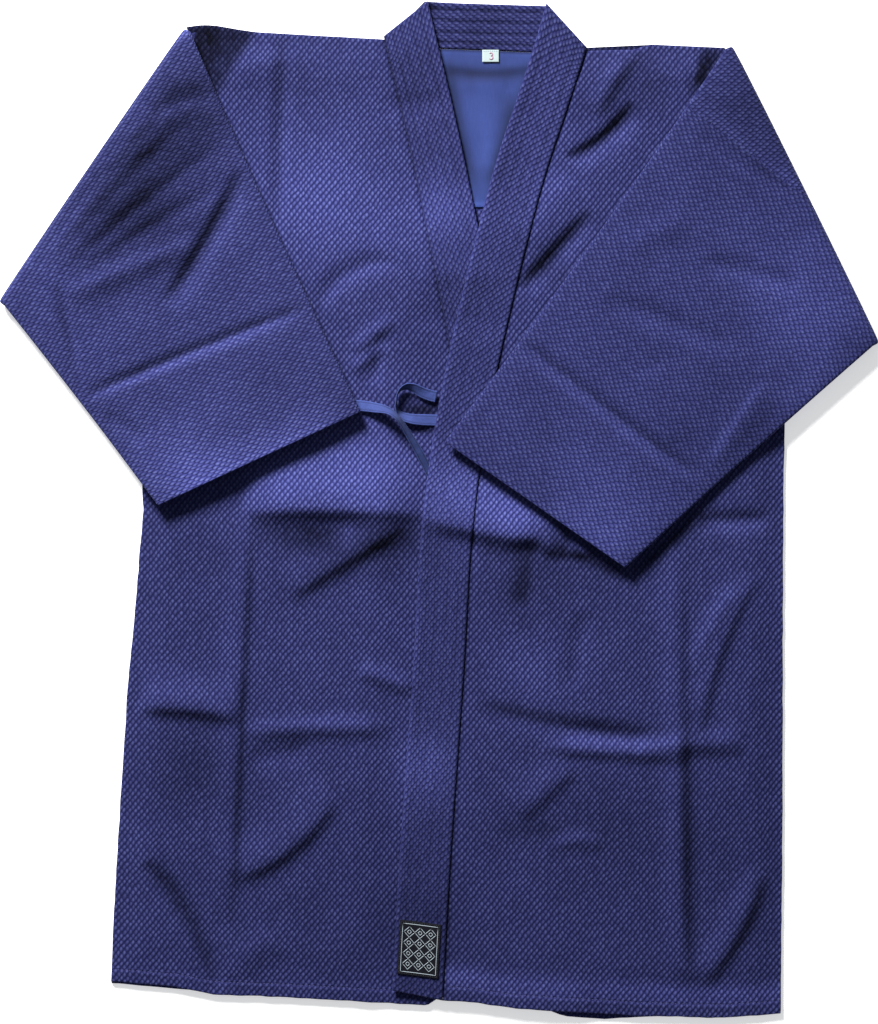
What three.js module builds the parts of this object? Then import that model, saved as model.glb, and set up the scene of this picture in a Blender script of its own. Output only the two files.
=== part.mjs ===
// Kendo jacket of thick rice-weave cotton, laid flat on its back with both sleeves folded in.
// Millimetres. +X is the wearer's left, +Y points to the neck, and +Z is up from the surface.
// The origin is on the surface, under the middle of the jacket's outline.
import * as THREE from 'three';

// Driving dimensions: cloth
const CLOTH = 1.8;
const BAND_CLOTH = 3.0;
const LINING_CLOTH = 1.0;
const TAPE_CLOTH = 1.2;
const LABEL_CLOTH = 0.8;
const SEAM_GAP = 0.3;

// Driving dimensions: widths
const BAND_WIDTH = 46;
const TIE_WIDTH = 10;
const SIZE_TAG = { width: 15, length: 11, x: 46.5, y: 408.5 };
const HEM_LABEL = { width: 37, length: 49, x: -17.8, y: -395 };

// Driving dimensions: how high the layers lie
const FRONT_SEAM_Z = CLOTH + SEAM_GAP;
const RIGHT_LOFT = 3.0;
const LEFT_LOFT = 3.9;
const SEWN_EDGE_SLOPE = 32;
const OVERLAP_CLEAR = 5;
const OVERLAP_SLOPE = 40;
const LINING_EDGE = { top: 411.5, y: 273, slopeStart: 215, slopeEnd: 255 };
const RIGHT_OVER_LINING = 1.4;
const LEFT_OVER_LINING = 0.9;
const FREE_EDGE_LIFT = 1.2;

// Driving dimensions: sleeves
const SLEEVE_FLOOR = 9.4;
const SLEEVE_DEPTH = { armhole: 2 * CLOTH + SEAM_GAP, under: 5.0, edge: 4.8, middle: 6.8 };
const CUFF_LIFT = 5.5;
const CUFF_LIFT_START = 0.55;

// Folds on a sleeve fade out beside its turned edge and beside its long edges
const SLEEVE_FADE = { turn: 0.1, edge: 0.08 };

// A table is a list of rows with named columns.
function table(columns, ...rows) {
  const names = columns.split(' ');
  return rows.map((row) => Object.fromEntries(names.map((name, i) => [name, row[i]])));
}

// Outline of the body: the edges on each side from the shoulder down to the hem
const RIGHT_SIDE = table('y x', [431, -219], [155, -270], [0, -267], [-81, -273.5], [-162, -281],
  [-270, -288], [-378, -294], [-425, -296]);
const LEFT_SIDE = table('y x', [417, 257], [137, 313], [0, 310.5], [-162, 310], [-270, 310], [-454, 308]);

// Top edges across the shoulders and the back of the neck
const BACK_TOP = table('x y', [-219, 431], [-163, 429], [-105, 427], [-47, 424.5], [-5, 416], [40, 414.4],
  [85, 412.5], [130, 417], [190, 420], [257, 417]);
const LEFT_FRONT_TOP = table('x y', [130, 415], [175, 415], [190, 420], [257, 417]);

// Hems
const BACK_HEM = table('x y', [-296, -427], [-239, -432], [-144, -441], [0, -450], [136, -458.7],
  [235, -459], [308, -455]);
const RIGHT_HEM = table('x y', [-296, -425], [-239, -429.5], [-203, -437], [-144, -439], [-59, -444],
  [61, -449]);
const LEFT_HEM = table('x y', [7, -441], [70, -449], [179, -456], [256, -458], [308, -454]);

// Middle lines of the two bands, from the corner of the neck to the hem
const RIGHT_BAND = table('x y', [-30, 443], [-23, 413], [-10.5, 361], [-1, 318], [10, 265], [39.5, 110],
  [54, -6], [65.5, -145], [76.5, -317], [84, -443]);
const LEFT_BAND = table('x y', [115, 437], [108, 413], [91, 360], [77.5, 320], [64, 273], [26, 110],
  [8.5, -6], [-0.5, -145], [-12.6, -317], [-19, -433]);
const BAND_CORNER = { right: 11, left: 14, reach: 60 };
const BAND_END_DROP = { reach: 32, restingOn: BAND_CLOTH + SEAM_GAP };

// Where a front meets its band: how far down the band it starts, and its place across the band
const BAND_SEAM = { rightStart: 0.003, leftStart: 0.004, across: 1 + 2 * SEAM_GAP / BAND_WIDTH };

// Back of the neck: the band stands out past the shoulders
const NECK_BAND = table('footX footY topX topY', [-47, 424.9, -13, 459], [-5, 416.4, 14, 457.6],
  [40, 414.8, 44, 456.6], [85, 412.9, 75, 455.6], [130, 417.4, 97, 455]);

// Sleeves as they lie, folded over the front: corners of the visible outline
const RIGHT_SLEEVE = {
  foldTop: [-230, 434], foldUnder: [-397.1, 188], cuffTop: [-70, 88], cuffUnder: [-252, 4],
  armholeTop: [-219.5, 430.5], armpit: [-270, 157], topBow: 2, underBow: 1,
};
const LEFT_SLEEVE = {
  foldTop: [265, 418], foldUnder: [397.1, 151], cuffTop: [5, 61], cuffUnder: [167, -52],
  armholeTop: [257.5, 417], armpit: [313.1, 139], topBow: 3, underBow: 1,
};

// Folds: soft ridges (height above zero) and troughs, each along one line, with the reach on the left
// and on the right of that line
const FOLD = 'x0 y0 x1 y1 left right height';
const RIGHT_FRONT_FOLDS = table(FOLD,
  [-180, 3, -58, 1, 38, 16, 4.5],
  [-150, -66, -42, -14, 20, 12, 2.5],
  [-171, -3, -190, -374, 8, 15, 1.8],
  [-272, -176, -182, -186, 22, 11, 4.0],
  [-176, -200, -60, -197, 12, 11, 3.0],
  [-188, -331, -100, -262, 24, 12, 3.4],
  [-262, -334, -208, -420, 10, 12, -2.4],
  [-139, 425, -146, 255, 10, 10, -1.2],
  [-45, 222, -100, 182, 12, 12, -1.6],
  [-78, 142, -44, 168, 11, 11, 1.6]);
const LEFT_FRONT_FOLDS = table(FOLD,
  [34, -9, 112, -26, 32, 13, 4.0],
  [214, -34, 220, -430, 10, 14, 3.0],
  [60, -184, 217, -205, 9, 10, -2.4],
  [90, -216, 276, -216, 12, 10, 3.2],
  [233, -206, 284, -58, 16, 10, 2.8],
  [236, -10, 300, -8, 10, 11, -2.2],
  [240, -424, 292, -330, 16, 11, 2.8],
  [72, -276, 122, -229, 18, 11, 3.0],
  [131, -92, 118, -162, 11, 11, -1.3],
  [176, 366, 114, 315, 12, 10, -2.6],
  [182, 414, 141, 356, 11, 12, 2.3],
  [134, 262, 78, 204, 11, 10, -2.6],
  [118, 300, 84, 236, 14, 14, 1.2]);
const RIGHT_SLEEVE_FOLDS = table(FOLD,
  [-229, 398, -361, 205, 46, 14, 2.6],
  [-176, 306, -246, 183, 14, 10, -2.4],
  [-324, 86, -112, 168, 10, 40, 2.2],
  [-340, 190, -214, 242, 11, 12, 1.8],
  [-312, 288, -226, 322, 12, 14, -1.4]);
const LEFT_SLEEVE_FOLDS = table(FOLD,
  [64, 146, 228, 18, 9, 26, 1.8],
  [230, 364, 330, 282, 9, 9, 1.6],
  [236, 222, 324, 198, 11, 11, -1.6],
  [148, 188, 262, 144, 11, 12, -1.6],
  [246, 38, 295, 114, 11, 15, 2.4],
  [190, 128, 214, 60, 16, 16, 1.4]);

// Ties: middle line of each tape with its roll about that line in degrees
const RIGHT_TIE = table('x y z roll',
  [-179, 93, 7.9, 0], [-150, 93.5, 7.9, 0], [-120, 94, 7.9, 0], [-96, 93.5, 8, 0], [-80, 92.5, 8.6, 0],
  [-67, 91.4, 10.4, 4], [-57, 90.8, 13, 14], [-49, 90.2, 17, 36], [-43, 88.2, 20, 56], [-38, 84.4, 20.2, 62],
  [-33.6, 79, 17.8, 46], [-29, 71, 13.6, 24], [-22.6, 60, 9.8, 10], [-16.8, 48.5, 7, 4], [-11.4, 38, 5.2, 0],
  [-6.4, 28, 5, 0]);
const LEFT_TIE = table('x y z roll',
  [-2.6, 102, 7.6, 0], [-8, 103.2, 8.2, 4], [-15, 105.8, 9.2, 14], [-22.4, 109.6, 10.6, 28],
  [-28.6, 111, 11.4, 46], [-34, 108.8, 12, 70], [-37.2, 104.4, 12.2, 86], [-38.4, 98, 12.1, 90],
  [-38, 91.6, 11.4, 66], [-35.6, 86.6, 10.2, 40], [-31, 83.6, 9.4, 24], [-23, 81.8, 8.6, 14],
  [-14, 81.2, 6.8, 6], [-6, 81, 5.2, 0], [1, 80.8, 5, 0], [10, 80.4, 5, 0]);

// Colours
const COLOURS = {
  body: 0x3d4084, sleeve: 0x414589, band: 0x393c7c, lining: 0x4a5a9b, tape: 0x5568ad, tag: 0xe9edf0,
  label: 0x14161d,
};

// How finely each piece is divided
const BODY_CELLS = { across: 18, along: 40 };
const BACK_CELLS = { along: 12 };
const BAND_CELLS = { across: 3, along: 34 };
const NECK_CELLS = { along: 3 };
const LINING_CELLS = { across: 5, along: 6 };
const TAG_CELLS = { across: 1, along: 1 };
const SLEEVE_CELLS = { across: 10, rim: 3, under: 3, fold: 6, over: 16 };
const PATCH_CELLS = { across: 3, along: 4 };
const TIE_STEPS = 30;
const TIE_SIDES = 8;
const TIE_ROUNDING = 0.4;

// Small helpers
const lerp = THREE.MathUtils.lerp;
const smooth = THREE.MathUtils.smoothstep;

// Reads one column of a table at a place in another column, along straight lines between the rows
function readTable(rows, key, place, value) {
  const rising = rows[rows.length - 1][key] > rows[0][key];
  const sorted = rising ? rows : [...rows].reverse();
  const last = sorted.length - 1;
  let i = 0;
  while (i < last - 1 && sorted[i + 1][key] < place) {
    i += 1;
  }
  const t = (place - sorted[i][key]) / (sorted[i + 1][key] - sorted[i][key]);
  return lerp(sorted[i][value], sorted[i + 1][value], THREE.MathUtils.clamp(t, 0, 1));
}

// Height that a table of folds adds at a point of the cloth
function foldHeight(folds, x, y) {
  let height = 0;
  for (const fold of folds) {
    const dx = fold.x1 - fold.x0;
    const dy = fold.y1 - fold.y0;
    const t = ((x - fold.x0) * dx + (y - fold.y0) * dy) / (dx * dx + dy * dy);
    if (t > 0 && t < 1) {
      const away = ((y - fold.y0) * dx - (x - fold.x0) * dy) / Math.hypot(dx, dy);
      const reach = away > 0 ? fold.left : fold.right;
      const fade = 1 - (2 * t - 1) ** 4;
      height += fold.height * fade * Math.exp(-((away / reach) ** 2));
    }
  }
  return height;
}

// A flat band along its middle line. Its place s runs from 0 at the neck to 1 at the hem, and across
// from -1 to 1. The end at the neck is cut on a slant, where the band turns the corner.
function makeBand(rows, corner) {
  const curve = new THREE.CatmullRomCurve3(rows.map((row) => new THREE.Vector3(row.x, row.y, 0)));
  const length = curve.getLength();
  const pointAt = (s, across) => {
    const along = curve.getTangentAt(s);
    const side = new THREE.Vector3(-along.y, along.x, 0);
    const slant = corner * across * (1 - smooth(s * length, 0, BAND_CORNER.reach));
    return curve.getPointAt(s).addScaledVector(side, across * BAND_WIDTH / 2).addScaledVector(along, -slant);
  };
  return { pointAt, length };
}

const rightBand = makeBand(RIGHT_BAND, BAND_CORNER.right);
const leftBand = makeBand(LEFT_BAND, -BAND_CORNER.left);

// How far a point lies from the left band's free edge, on the side where the right front shows
function pastFreeEdge(x, y) {
  const middle = readTable(LEFT_BAND, 'y', y, 'x');
  const above = readTable(LEFT_BAND, 'y', y + 1, 'x');
  const below = readTable(LEFT_BAND, 'y', y - 1, 'x');
  const lean = Math.hypot(1, (above - below) / 2);
  return (middle - x) / lean - BAND_WIDTH / 2;
}

// Height of the right front and its band above the seam level
function rightLoft(x, y) {
  const shows = smooth(pastFreeEdge(x, y), OVERLAP_CLEAR, OVERLAP_CLEAR + OVERLAP_SLOPE);
  const overLining = RIGHT_OVER_LINING * smooth(y, LINING_EDGE.slopeStart, LINING_EDGE.slopeEnd);
  return overLining + (RIGHT_LOFT - overLining) * shows;
}

// Height of the left front and its band above the seam level
function leftLoft(y) {
  return LEFT_LOFT + LEFT_OVER_LINING * smooth(y, LINING_EDGE.slopeStart, LINING_EDGE.slopeEnd);
}

// Where the right band holds the left front up, its troughs fade out
function clearOfRightBand(x, y) {
  const away = Math.abs(x - readTable(RIGHT_BAND, 'y', y, 'x'));
  return smooth(away, BAND_WIDTH / 2 + OVERLAP_CLEAR, BAND_WIDTH / 2 + OVERLAP_SLOPE);
}

// Joins two grids of points into one closed wall. Rows may close on themselves.
function wallBetween(outer, inner, closedRows) {
  const rows = outer.length;
  const columns = outer[0].length;
  const points = [...outer.flat(), ...inner.flat()];
  const faces = [];
  const outerAt = (i, j) => i * columns + (j % columns);
  const innerAt = (i, j) => rows * columns + outerAt(i, j);
  const quad = (a, b, c, d) => faces.push(a, b, c, a, c, d);
  const cells = closedRows ? columns : columns - 1;
  for (let i = 0; i < rows - 1; i += 1) {
    for (let j = 0; j < cells; j += 1) {
      quad(outerAt(i, j), outerAt(i, j + 1), outerAt(i + 1, j + 1), outerAt(i + 1, j));
      quad(innerAt(i, j), innerAt(i + 1, j), innerAt(i + 1, j + 1), innerAt(i, j + 1));
    }
  }
  for (let j = 0; j < cells; j += 1) {
    quad(outerAt(0, j + 1), outerAt(0, j), innerAt(0, j), innerAt(0, j + 1));
    quad(outerAt(rows - 1, j), outerAt(rows - 1, j + 1), innerAt(rows - 1, j + 1), innerAt(rows - 1, j));
  }
  if (!closedRows) {
    for (let i = 0; i < rows - 1; i += 1) {
      quad(outerAt(i, 0), outerAt(i + 1, 0), innerAt(i + 1, 0), innerAt(i, 0));
      quad(outerAt(i + 1, columns - 1), outerAt(i, columns - 1), innerAt(i, columns - 1),
        innerAt(i + 1, columns - 1));
    }
  }
  return closedBody(points, faces);
}

// Makes a geometry whose faces point out
function closedBody(points, faces) {
  let volume = 0;
  for (let f = 0; f < faces.length; f += 3) {
    const [a, b, c] = [points[faces[f]], points[faces[f + 1]], points[faces[f + 2]]];
    volume += a.dot(b.clone().cross(c));
  }
  const turned = volume < 0 ? [...faces].reverse() : faces;
  const geometry = new THREE.BufferGeometry();
  const values = points.flatMap((p) => [p.x, p.y, p.z]);
  geometry.setAttribute('position', new THREE.Float32BufferAttribute(values, 3));
  geometry.setIndex(turned);
  return geometry;
}

// A panel that lies on the surface: plan(u, v) gives its outline and floor(point, u, v) its underside
function layPanel(cells, thickness, plan, floor) {
  const under = [];
  const over = [];
  const columns = cells.columns ?? Array.from({ length: cells.across + 1 }, (_, j) => j / cells.across);
  for (let i = 0; i <= cells.along; i += 1) {
    const underRow = [];
    const overRow = [];
    for (const u of columns) {
      const v = i / cells.along;
      const point = plan(u, v);
      point.z = floor(point, u, v);
      underRow.push(point);
      overRow.push(new THREE.Vector3(point.x, point.y, point.z + thickness));
    }
    under.push(underRow);
    over.push(overRow);
  }
  return wallBetween(over, under, false);
}

// Plan of a panel between a left and a right edge, with its own top and hem lines.
// Those lines fade out towards an edge that is sewn to a band: bandU is 0 or 1, or null for none.
function planBetween(leftEdge, rightEdge, topLine, hemLine, bandU) {
  return (u, v) => {
    const point = leftEdge(v).lerp(rightEdge(v), u);
    const bandEdge = bandU === 0 ? leftEdge(v) : rightEdge(v);
    const free = bandU === null ? 1 : smooth(Math.abs(point.x - bandEdge.x), 0, BAND_WIDTH);
    const straightTop = lerp(leftEdge(0).y, rightEdge(0).y, u);
    const straightHem = lerp(leftEdge(1).y, rightEdge(1).y, u);
    const top = topLine ? readTable(topLine, 'x', point.x, 'y') - straightTop : 0;
    const hem = readTable(hemLine, 'x', point.x, 'y') - straightHem;
    point.y += free * (top * (1 - v) ** 4 + hem * v ** 4);
    return point;
  };
}

// Side edge of the body: v runs from the shoulder to the hem
function sideEdge(rows) {
  return (v) => {
    const y = lerp(rows[0].y, rows[rows.length - 1].y, v);
    return new THREE.Vector3(readTable(rows, 'y', y, 'x'), y, 0);
  };
}

// Pieces of the body
function back() {
  const plan = planBetween(sideEdge(RIGHT_SIDE), sideEdge(LEFT_SIDE), BACK_TOP, BACK_HEM, null);
  const width = BACK_TOP[BACK_TOP.length - 1].x - BACK_TOP[0].x;
  const columns = BACK_TOP.map((row) => (row.x - BACK_TOP[0].x) / width);
  return layPanel({ along: BACK_CELLS.along, columns }, CLOTH, plan, () => 0);
}

// A sewn edge lies on the back, and the cloth rises away from it
function riseFromSeams(point, sidePoint, topY) {
  const fromSide = Math.abs(point.x - sidePoint.x);
  const fromTop = Math.max(topY - point.y, 0);
  return smooth(fromSide, 0, SEWN_EDGE_SLOPE) * smooth(fromTop, 0, SEWN_EDGE_SLOPE);
}

function frontRight() {
  const side = sideEdge(RIGHT_SIDE);
  const seam = (v) => rightBand.pointAt(lerp(BAND_SEAM.rightStart, 1, v), -BAND_SEAM.across);
  const plan = planBetween(side, seam, null, RIGHT_HEM, 1);
  return layPanel(BODY_CELLS, CLOTH, plan, (point, u, v) => {
    const rise = riseFromSeams(point, side(v), plan(u, 0).y);
    const folds = foldHeight(RIGHT_FRONT_FOLDS, point.x, point.y);
    return FRONT_SEAM_Z + rise * (rightLoft(point.x, point.y) + folds);
  });
}

function frontLeft() {
  const side = sideEdge(LEFT_SIDE);
  const seam = (v) => leftBand.pointAt(lerp(BAND_SEAM.leftStart, 1, v), BAND_SEAM.across);
  const plan = planBetween(seam, side, LEFT_FRONT_TOP, LEFT_HEM, 0);
  return layPanel(BODY_CELLS, CLOTH, plan, (point, u, v) => {
    const rise = riseFromSeams(point, side(v), plan(u, 0).y);
    const height = foldHeight(LEFT_FRONT_FOLDS, point.x, point.y);
    const folds = height < 0 ? height * clearOfRightBand(point.x, point.y) : height;
    return FRONT_SEAM_Z + rise * (leftLoft(point.y) + folds);
  });
}

// Collar bands: their upper ends come down onto the band behind the neck
function layBand(band, height) {
  return layPanel(BAND_CELLS, BAND_CLOTH, (u, v) => band.pointAt(v, 2 * u - 1), (point, u, v) => {
    const drop = 1 - smooth(v * band.length, 0, BAND_END_DROP.reach);
    return lerp(height(point, 2 * u - 1), BAND_END_DROP.restingOn, drop);
  });
}

function collarRight() {
  return layBand(rightBand, (point) => FRONT_SEAM_Z + rightLoft(point.x, point.y));
}

function collarLeft() {
  return layBand(leftBand, (point, across) => {
    const lift = FREE_EDGE_LIFT * smooth(-across, 0, 1);
    return FRONT_SEAM_Z + leftLoft(point.y) + lift;
  });
}

function collarBack() {
  const last = NECK_BAND.length - 1;
  const plan = (u, v) => {
    const row = NECK_BAND[Math.round(u * last)];
    return new THREE.Vector3(lerp(row.footX, row.topX, v), lerp(row.footY, row.topY, v), 0);
  };
  return layPanel({ across: last, along: NECK_CELLS.along }, BAND_CLOTH, plan, () => 0);
}

function yokeLining() {
  const plan = (u, v) => {
    const y = lerp(LINING_EDGE.top, LINING_EDGE.y, v);
    const right = readTable(RIGHT_BAND, 'y', y, 'x');
    const left = readTable(LEFT_BAND, 'y', y, 'x');
    return new THREE.Vector3(lerp(right, left, u), y, 0);
  };
  return layPanel(LINING_CELLS, LINING_CLOTH, plan, () => CLOTH + SEAM_GAP);
}

// Sleeves: a flat tube that leaves the armhole, turns over at its fold and lies on the front
function sleeve(corners, folds) {
  const at = (pair) => new THREE.Vector3(pair[0], pair[1], 0);
  const foldTop = at(corners.foldTop);
  const foldUnder = at(corners.foldUnder);
  const turnRadius = (depth) => (SLEEVE_FLOOR + depth) / 2;
  const widest = turnRadius(SLEEVE_DEPTH.middle);
  const down = foldUnder.clone().sub(foldTop).normalize();
  const armpit = at(corners.armpit);
  const out = new THREE.Vector3(-down.y, down.x, 0);
  out.multiplyScalar(Math.sign(out.dot(foldUnder.clone().sub(armpit))));
  const inset = SLEEVE_DEPTH.edge / 2;
  const axisTop = foldTop.clone().addScaledVector(out, -widest).addScaledVector(down, inset);
  const axisUnder = foldUnder.clone().addScaledVector(out, -widest).addScaledVector(down, -inset);
  const cuffDown = at(corners.cuffUnder).sub(at(corners.cuffTop)).normalize();
  const cuffTop = at(corners.cuffTop).addScaledVector(cuffDown, inset);
  const cuffUnder = at(corners.cuffUnder).addScaledVector(cuffDown, -inset);
  const up = new THREE.Vector3(0, 0, 1);
  const bulge = (w) => Math.sqrt(Math.sin(Math.PI * THREE.MathUtils.clamp(w, 0, 1)));
  const overDepth = (w) => lerp(SLEEVE_DEPTH.edge, SLEEVE_DEPTH.middle, bulge(w));
  const underDepth = (a) => lerp(SLEEVE_DEPTH.armhole, SLEEVE_DEPTH.under, a);

  // Each station gives a point of the outer face, the way into the slab and its depth there
  const stations = [];
  for (let i = 0; i <= SLEEVE_CELLS.under; i += 1) {
    const a = i / SLEEVE_CELLS.under;
    const top = at(corners.armholeTop).lerp(axisTop, a);
    const under = armpit.clone().lerp(axisUnder, a);
    stations.push({ top, under, face: () => 0, inward: up, depth: () => underDepth(a) });
  }
  for (let i = 1; i <= SLEEVE_CELLS.fold; i += 1) {
    const a = i / SLEEVE_CELLS.fold;
    const angle = Math.PI * (a - 0.5);
    const radial = out.clone().multiplyScalar(Math.cos(angle)).addScaledVector(up, Math.sin(angle));
    stations.push({
      top: axisTop, under: axisUnder, radial, inward: radial.clone().negate(), turn: true,
      depth: (w) => lerp(SLEEVE_DEPTH.under, overDepth(w), a),
    });
  }
  for (let i = 1; i <= SLEEVE_CELLS.over; i += 1) {
    const a = i / SLEEVE_CELLS.over;
    const bow = 4 * a * (1 - a);
    const top = axisTop.clone().lerp(cuffTop, a).addScaledVector(cuffDown, corners.topBow * bow);
    const under = axisUnder.clone().lerp(cuffUnder, a).addScaledVector(cuffDown, -corners.underBow * bow);
    const lift = CUFF_LIFT * smooth(a, CUFF_LIFT_START, 1);
    const endFade = smooth(a, 0, SLEEVE_FADE.turn);
    stations.push({
      top, under, inward: up.clone().negate(),
      face: (w, point) => SLEEVE_FLOOR + lift + overDepth(w) + rise(w, point) * endFade,
      depth: (w, point) => overDepth(w) + rise(w, point) * endFade,
    });
  }
  function rise(w, point) {
    return foldHeight(folds, point.x, point.y) * smooth(Math.min(w, 1 - w), 0, SLEEVE_FADE.edge);
  }

  const outer = [];
  const inner = [];
  for (const station of stations) {
    const across = station.under.clone().sub(station.top).normalize();
    const faceAt = (w) => {
      const point = station.top.clone().lerp(station.under, w);
      if (station.turn) {
        const radius = turnRadius(overDepth(w));
        return point.addScaledVector(station.radial, radius).addScaledVector(up, radius);
      }
      point.z = station.face(w, point);
      return point;
    };
    outer.push(slabLoop(station, faceAt, across, 0));
    inner.push(slabLoop(station, faceAt, across, CLOTH));
  }
  return wallBetween(outer, inner, true);
}

// One closed loop round the flat tube, set in from its outer face by a given amount
function slabLoop(station, faceAt, across, setIn) {
  const loop = [];
  const cells = SLEEVE_CELLS.across;
  for (let j = 0; j <= cells; j += 1) {
    loop.push(faceAt(j / cells).addScaledVector(station.inward, setIn));
  }
  loop.push(...slabRim(station, faceAt(1), 1, across, setIn, -1));
  for (let j = cells; j >= 0; j -= 1) {
    const face = faceAt(j / cells);
    const depth = station.depth(j / cells, face);
    loop.push(face.addScaledVector(station.inward, depth - setIn));
  }
  loop.push(...slabRim(station, faceAt(0), 0, across.clone().negate(), setIn, 1));
  return loop;
}

// The rounded edge between the two layers of a flat tube, without its end points
function slabRim(station, face, w, outward, setIn, from) {
  const depth = station.depth(w, face);
  const centre = face.clone().addScaledVector(station.inward, depth / 2);
  const radius = depth / 2 - setIn;
  const rim = [];
  for (let k = 1; k < SLEEVE_CELLS.rim; k += 1) {
    const angle = from * Math.PI * (0.5 - k / SLEEVE_CELLS.rim);
    rim.push(centre.clone()
      .addScaledVector(outward, radius * Math.cos(angle))
      .addScaledVector(station.inward, radius * Math.sin(angle)));
  }
  return rim;
}

// Ties: a flat tape along its middle line, rolled about it
function tie(rows) {
  const curve = new THREE.CatmullRomCurve3(rows.map((row) => new THREE.Vector3(row.x, row.y, row.z)));
  const last = rows.length - 1;
  const points = [];
  for (let i = 0; i <= TIE_STEPS; i += 1) {
    const t = i / TIE_STEPS;
    const row = Math.min(Math.floor(t * last), last - 1);
    const roll = THREE.MathUtils.degToRad(lerp(rows[row].roll, rows[row + 1].roll, t * last - row));
    const middle = curve.getPoint(t);
    const along = curve.getTangent(t);
    const level = new THREE.Vector3(-along.y, along.x, 0).normalize();
    const side = level.clone().applyAxisAngle(along, -roll);
    const normal = along.clone().cross(side).normalize();
    for (let k = 0; k < TIE_SIDES; k += 1) {
      const angle = 2 * Math.PI * (k + 0.5) / TIE_SIDES;
      const wide = Math.sign(Math.cos(angle)) * Math.abs(Math.cos(angle)) ** TIE_ROUNDING;
      const thick = Math.sign(Math.sin(angle)) * Math.abs(Math.sin(angle)) ** TIE_ROUNDING;
      points.push(middle.clone()
        .addScaledVector(side, wide * TIE_WIDTH / 2)
        .addScaledVector(normal, thick * TAPE_CLOTH / 2));
    }
  }
  return closedBody(points, tubeFaces(TIE_STEPS, TIE_SIDES));
}

function tubeFaces(steps, sides) {
  const faces = [];
  for (let i = 0; i < steps; i += 1) {
    for (let k = 0; k < sides; k += 1) {
      const a = i * sides + k;
      const b = i * sides + (k + 1) % sides;
      faces.push(a, b, b + sides, a, b + sides, a + sides);
    }
  }
  const end = steps * sides;
  for (let k = 1; k < sides - 1; k += 1) {
    faces.push(0, k + 1, k);
    faces.push(end, end + k, end + k + 1);
  }
  return faces;
}

// Patches sewn flat on a panel
function sizeTag() {
  const floor = CLOTH + SEAM_GAP + LINING_CLOTH + SEAM_GAP;
  const plan = (u, v) => new THREE.Vector3(
    SIZE_TAG.x + (u - 0.5) * SIZE_TAG.width, SIZE_TAG.y + (0.5 - v) * SIZE_TAG.length, 0);
  return layPanel(TAG_CELLS, LABEL_CLOTH, plan, () => floor);
}

function hemLabel() {
  const lean = Math.atan2(LEFT_BAND[8].x - LEFT_BAND[9].x, LEFT_BAND[8].y - LEFT_BAND[9].y);
  const plan = (u, v) => {
    const across = (u - 0.5) * HEM_LABEL.width;
    const along = (0.5 - v) * HEM_LABEL.length;
    return new THREE.Vector3(
      HEM_LABEL.x + across * Math.cos(lean) + along * Math.sin(lean),
      HEM_LABEL.y - across * Math.sin(lean) + along * Math.cos(lean), 0);
  };
  const bandTop = FRONT_SEAM_Z + LEFT_LOFT + BAND_CLOTH + FREE_EDGE_LIFT;
  return layPanel(PATCH_CELLS, LABEL_CLOTH, plan, () => bandTop + SEAM_GAP);
}

// The jacket
const jacket = new THREE.Group();

function addPiece(name, geometry, colour, roughness) {
  const material = new THREE.MeshStandardMaterial({ color: colour, roughness, metalness: 0 });
  const mesh = new THREE.Mesh(geometry, material);
  mesh.name = name;
  jacket.add(mesh);
}

addPiece('back', back(), COLOURS.body, 0.9);
addPiece('front_right', frontRight(), COLOURS.body, 0.9);
addPiece('front_left', frontLeft(), COLOURS.body, 0.9);
addPiece('collar_back', collarBack(), COLOURS.band, 0.9);
addPiece('collar_right', collarRight(), COLOURS.band, 0.9);
addPiece('collar_left', collarLeft(), COLOURS.band, 0.9);
addPiece('yoke_lining', yokeLining(), COLOURS.lining, 0.8);
addPiece('sleeve_right', sleeve(RIGHT_SLEEVE, RIGHT_SLEEVE_FOLDS), COLOURS.sleeve, 0.9);
addPiece('sleeve_left', sleeve(LEFT_SLEEVE, LEFT_SLEEVE_FOLDS), COLOURS.sleeve, 0.9);
addPiece('tie_right', tie(RIGHT_TIE), COLOURS.tape, 0.8);
addPiece('tie_left', tie(LEFT_TIE), COLOURS.tape, 0.8);
addPiece('size_tag', sizeTag(), COLOURS.tag, 0.7);
addPiece('hem_label', hemLabel(), COLOURS.label, 0.7);

export default jacket;
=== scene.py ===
# Kendo jacket of rice-weave cotton, laid flat on a pale floor with its sleeves folded in.
# Sizes are in millimetres until a mesh is made. +X is the wearer's left and +Y points to the neck.
import math

import bpy
import numpy as np
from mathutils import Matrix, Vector


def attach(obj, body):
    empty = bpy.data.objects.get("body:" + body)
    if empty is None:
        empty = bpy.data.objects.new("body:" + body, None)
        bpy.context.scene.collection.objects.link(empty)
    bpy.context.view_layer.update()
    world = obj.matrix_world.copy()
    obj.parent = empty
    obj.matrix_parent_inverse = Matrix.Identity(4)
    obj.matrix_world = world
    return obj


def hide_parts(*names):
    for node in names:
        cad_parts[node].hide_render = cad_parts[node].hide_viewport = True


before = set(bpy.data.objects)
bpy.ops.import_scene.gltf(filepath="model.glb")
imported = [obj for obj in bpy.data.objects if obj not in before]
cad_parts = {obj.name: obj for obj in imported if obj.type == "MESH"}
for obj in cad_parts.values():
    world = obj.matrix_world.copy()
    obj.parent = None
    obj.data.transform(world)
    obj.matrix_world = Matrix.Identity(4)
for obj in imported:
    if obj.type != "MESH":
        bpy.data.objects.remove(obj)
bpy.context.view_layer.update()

MM = 0.001
BODY = "root"

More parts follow.
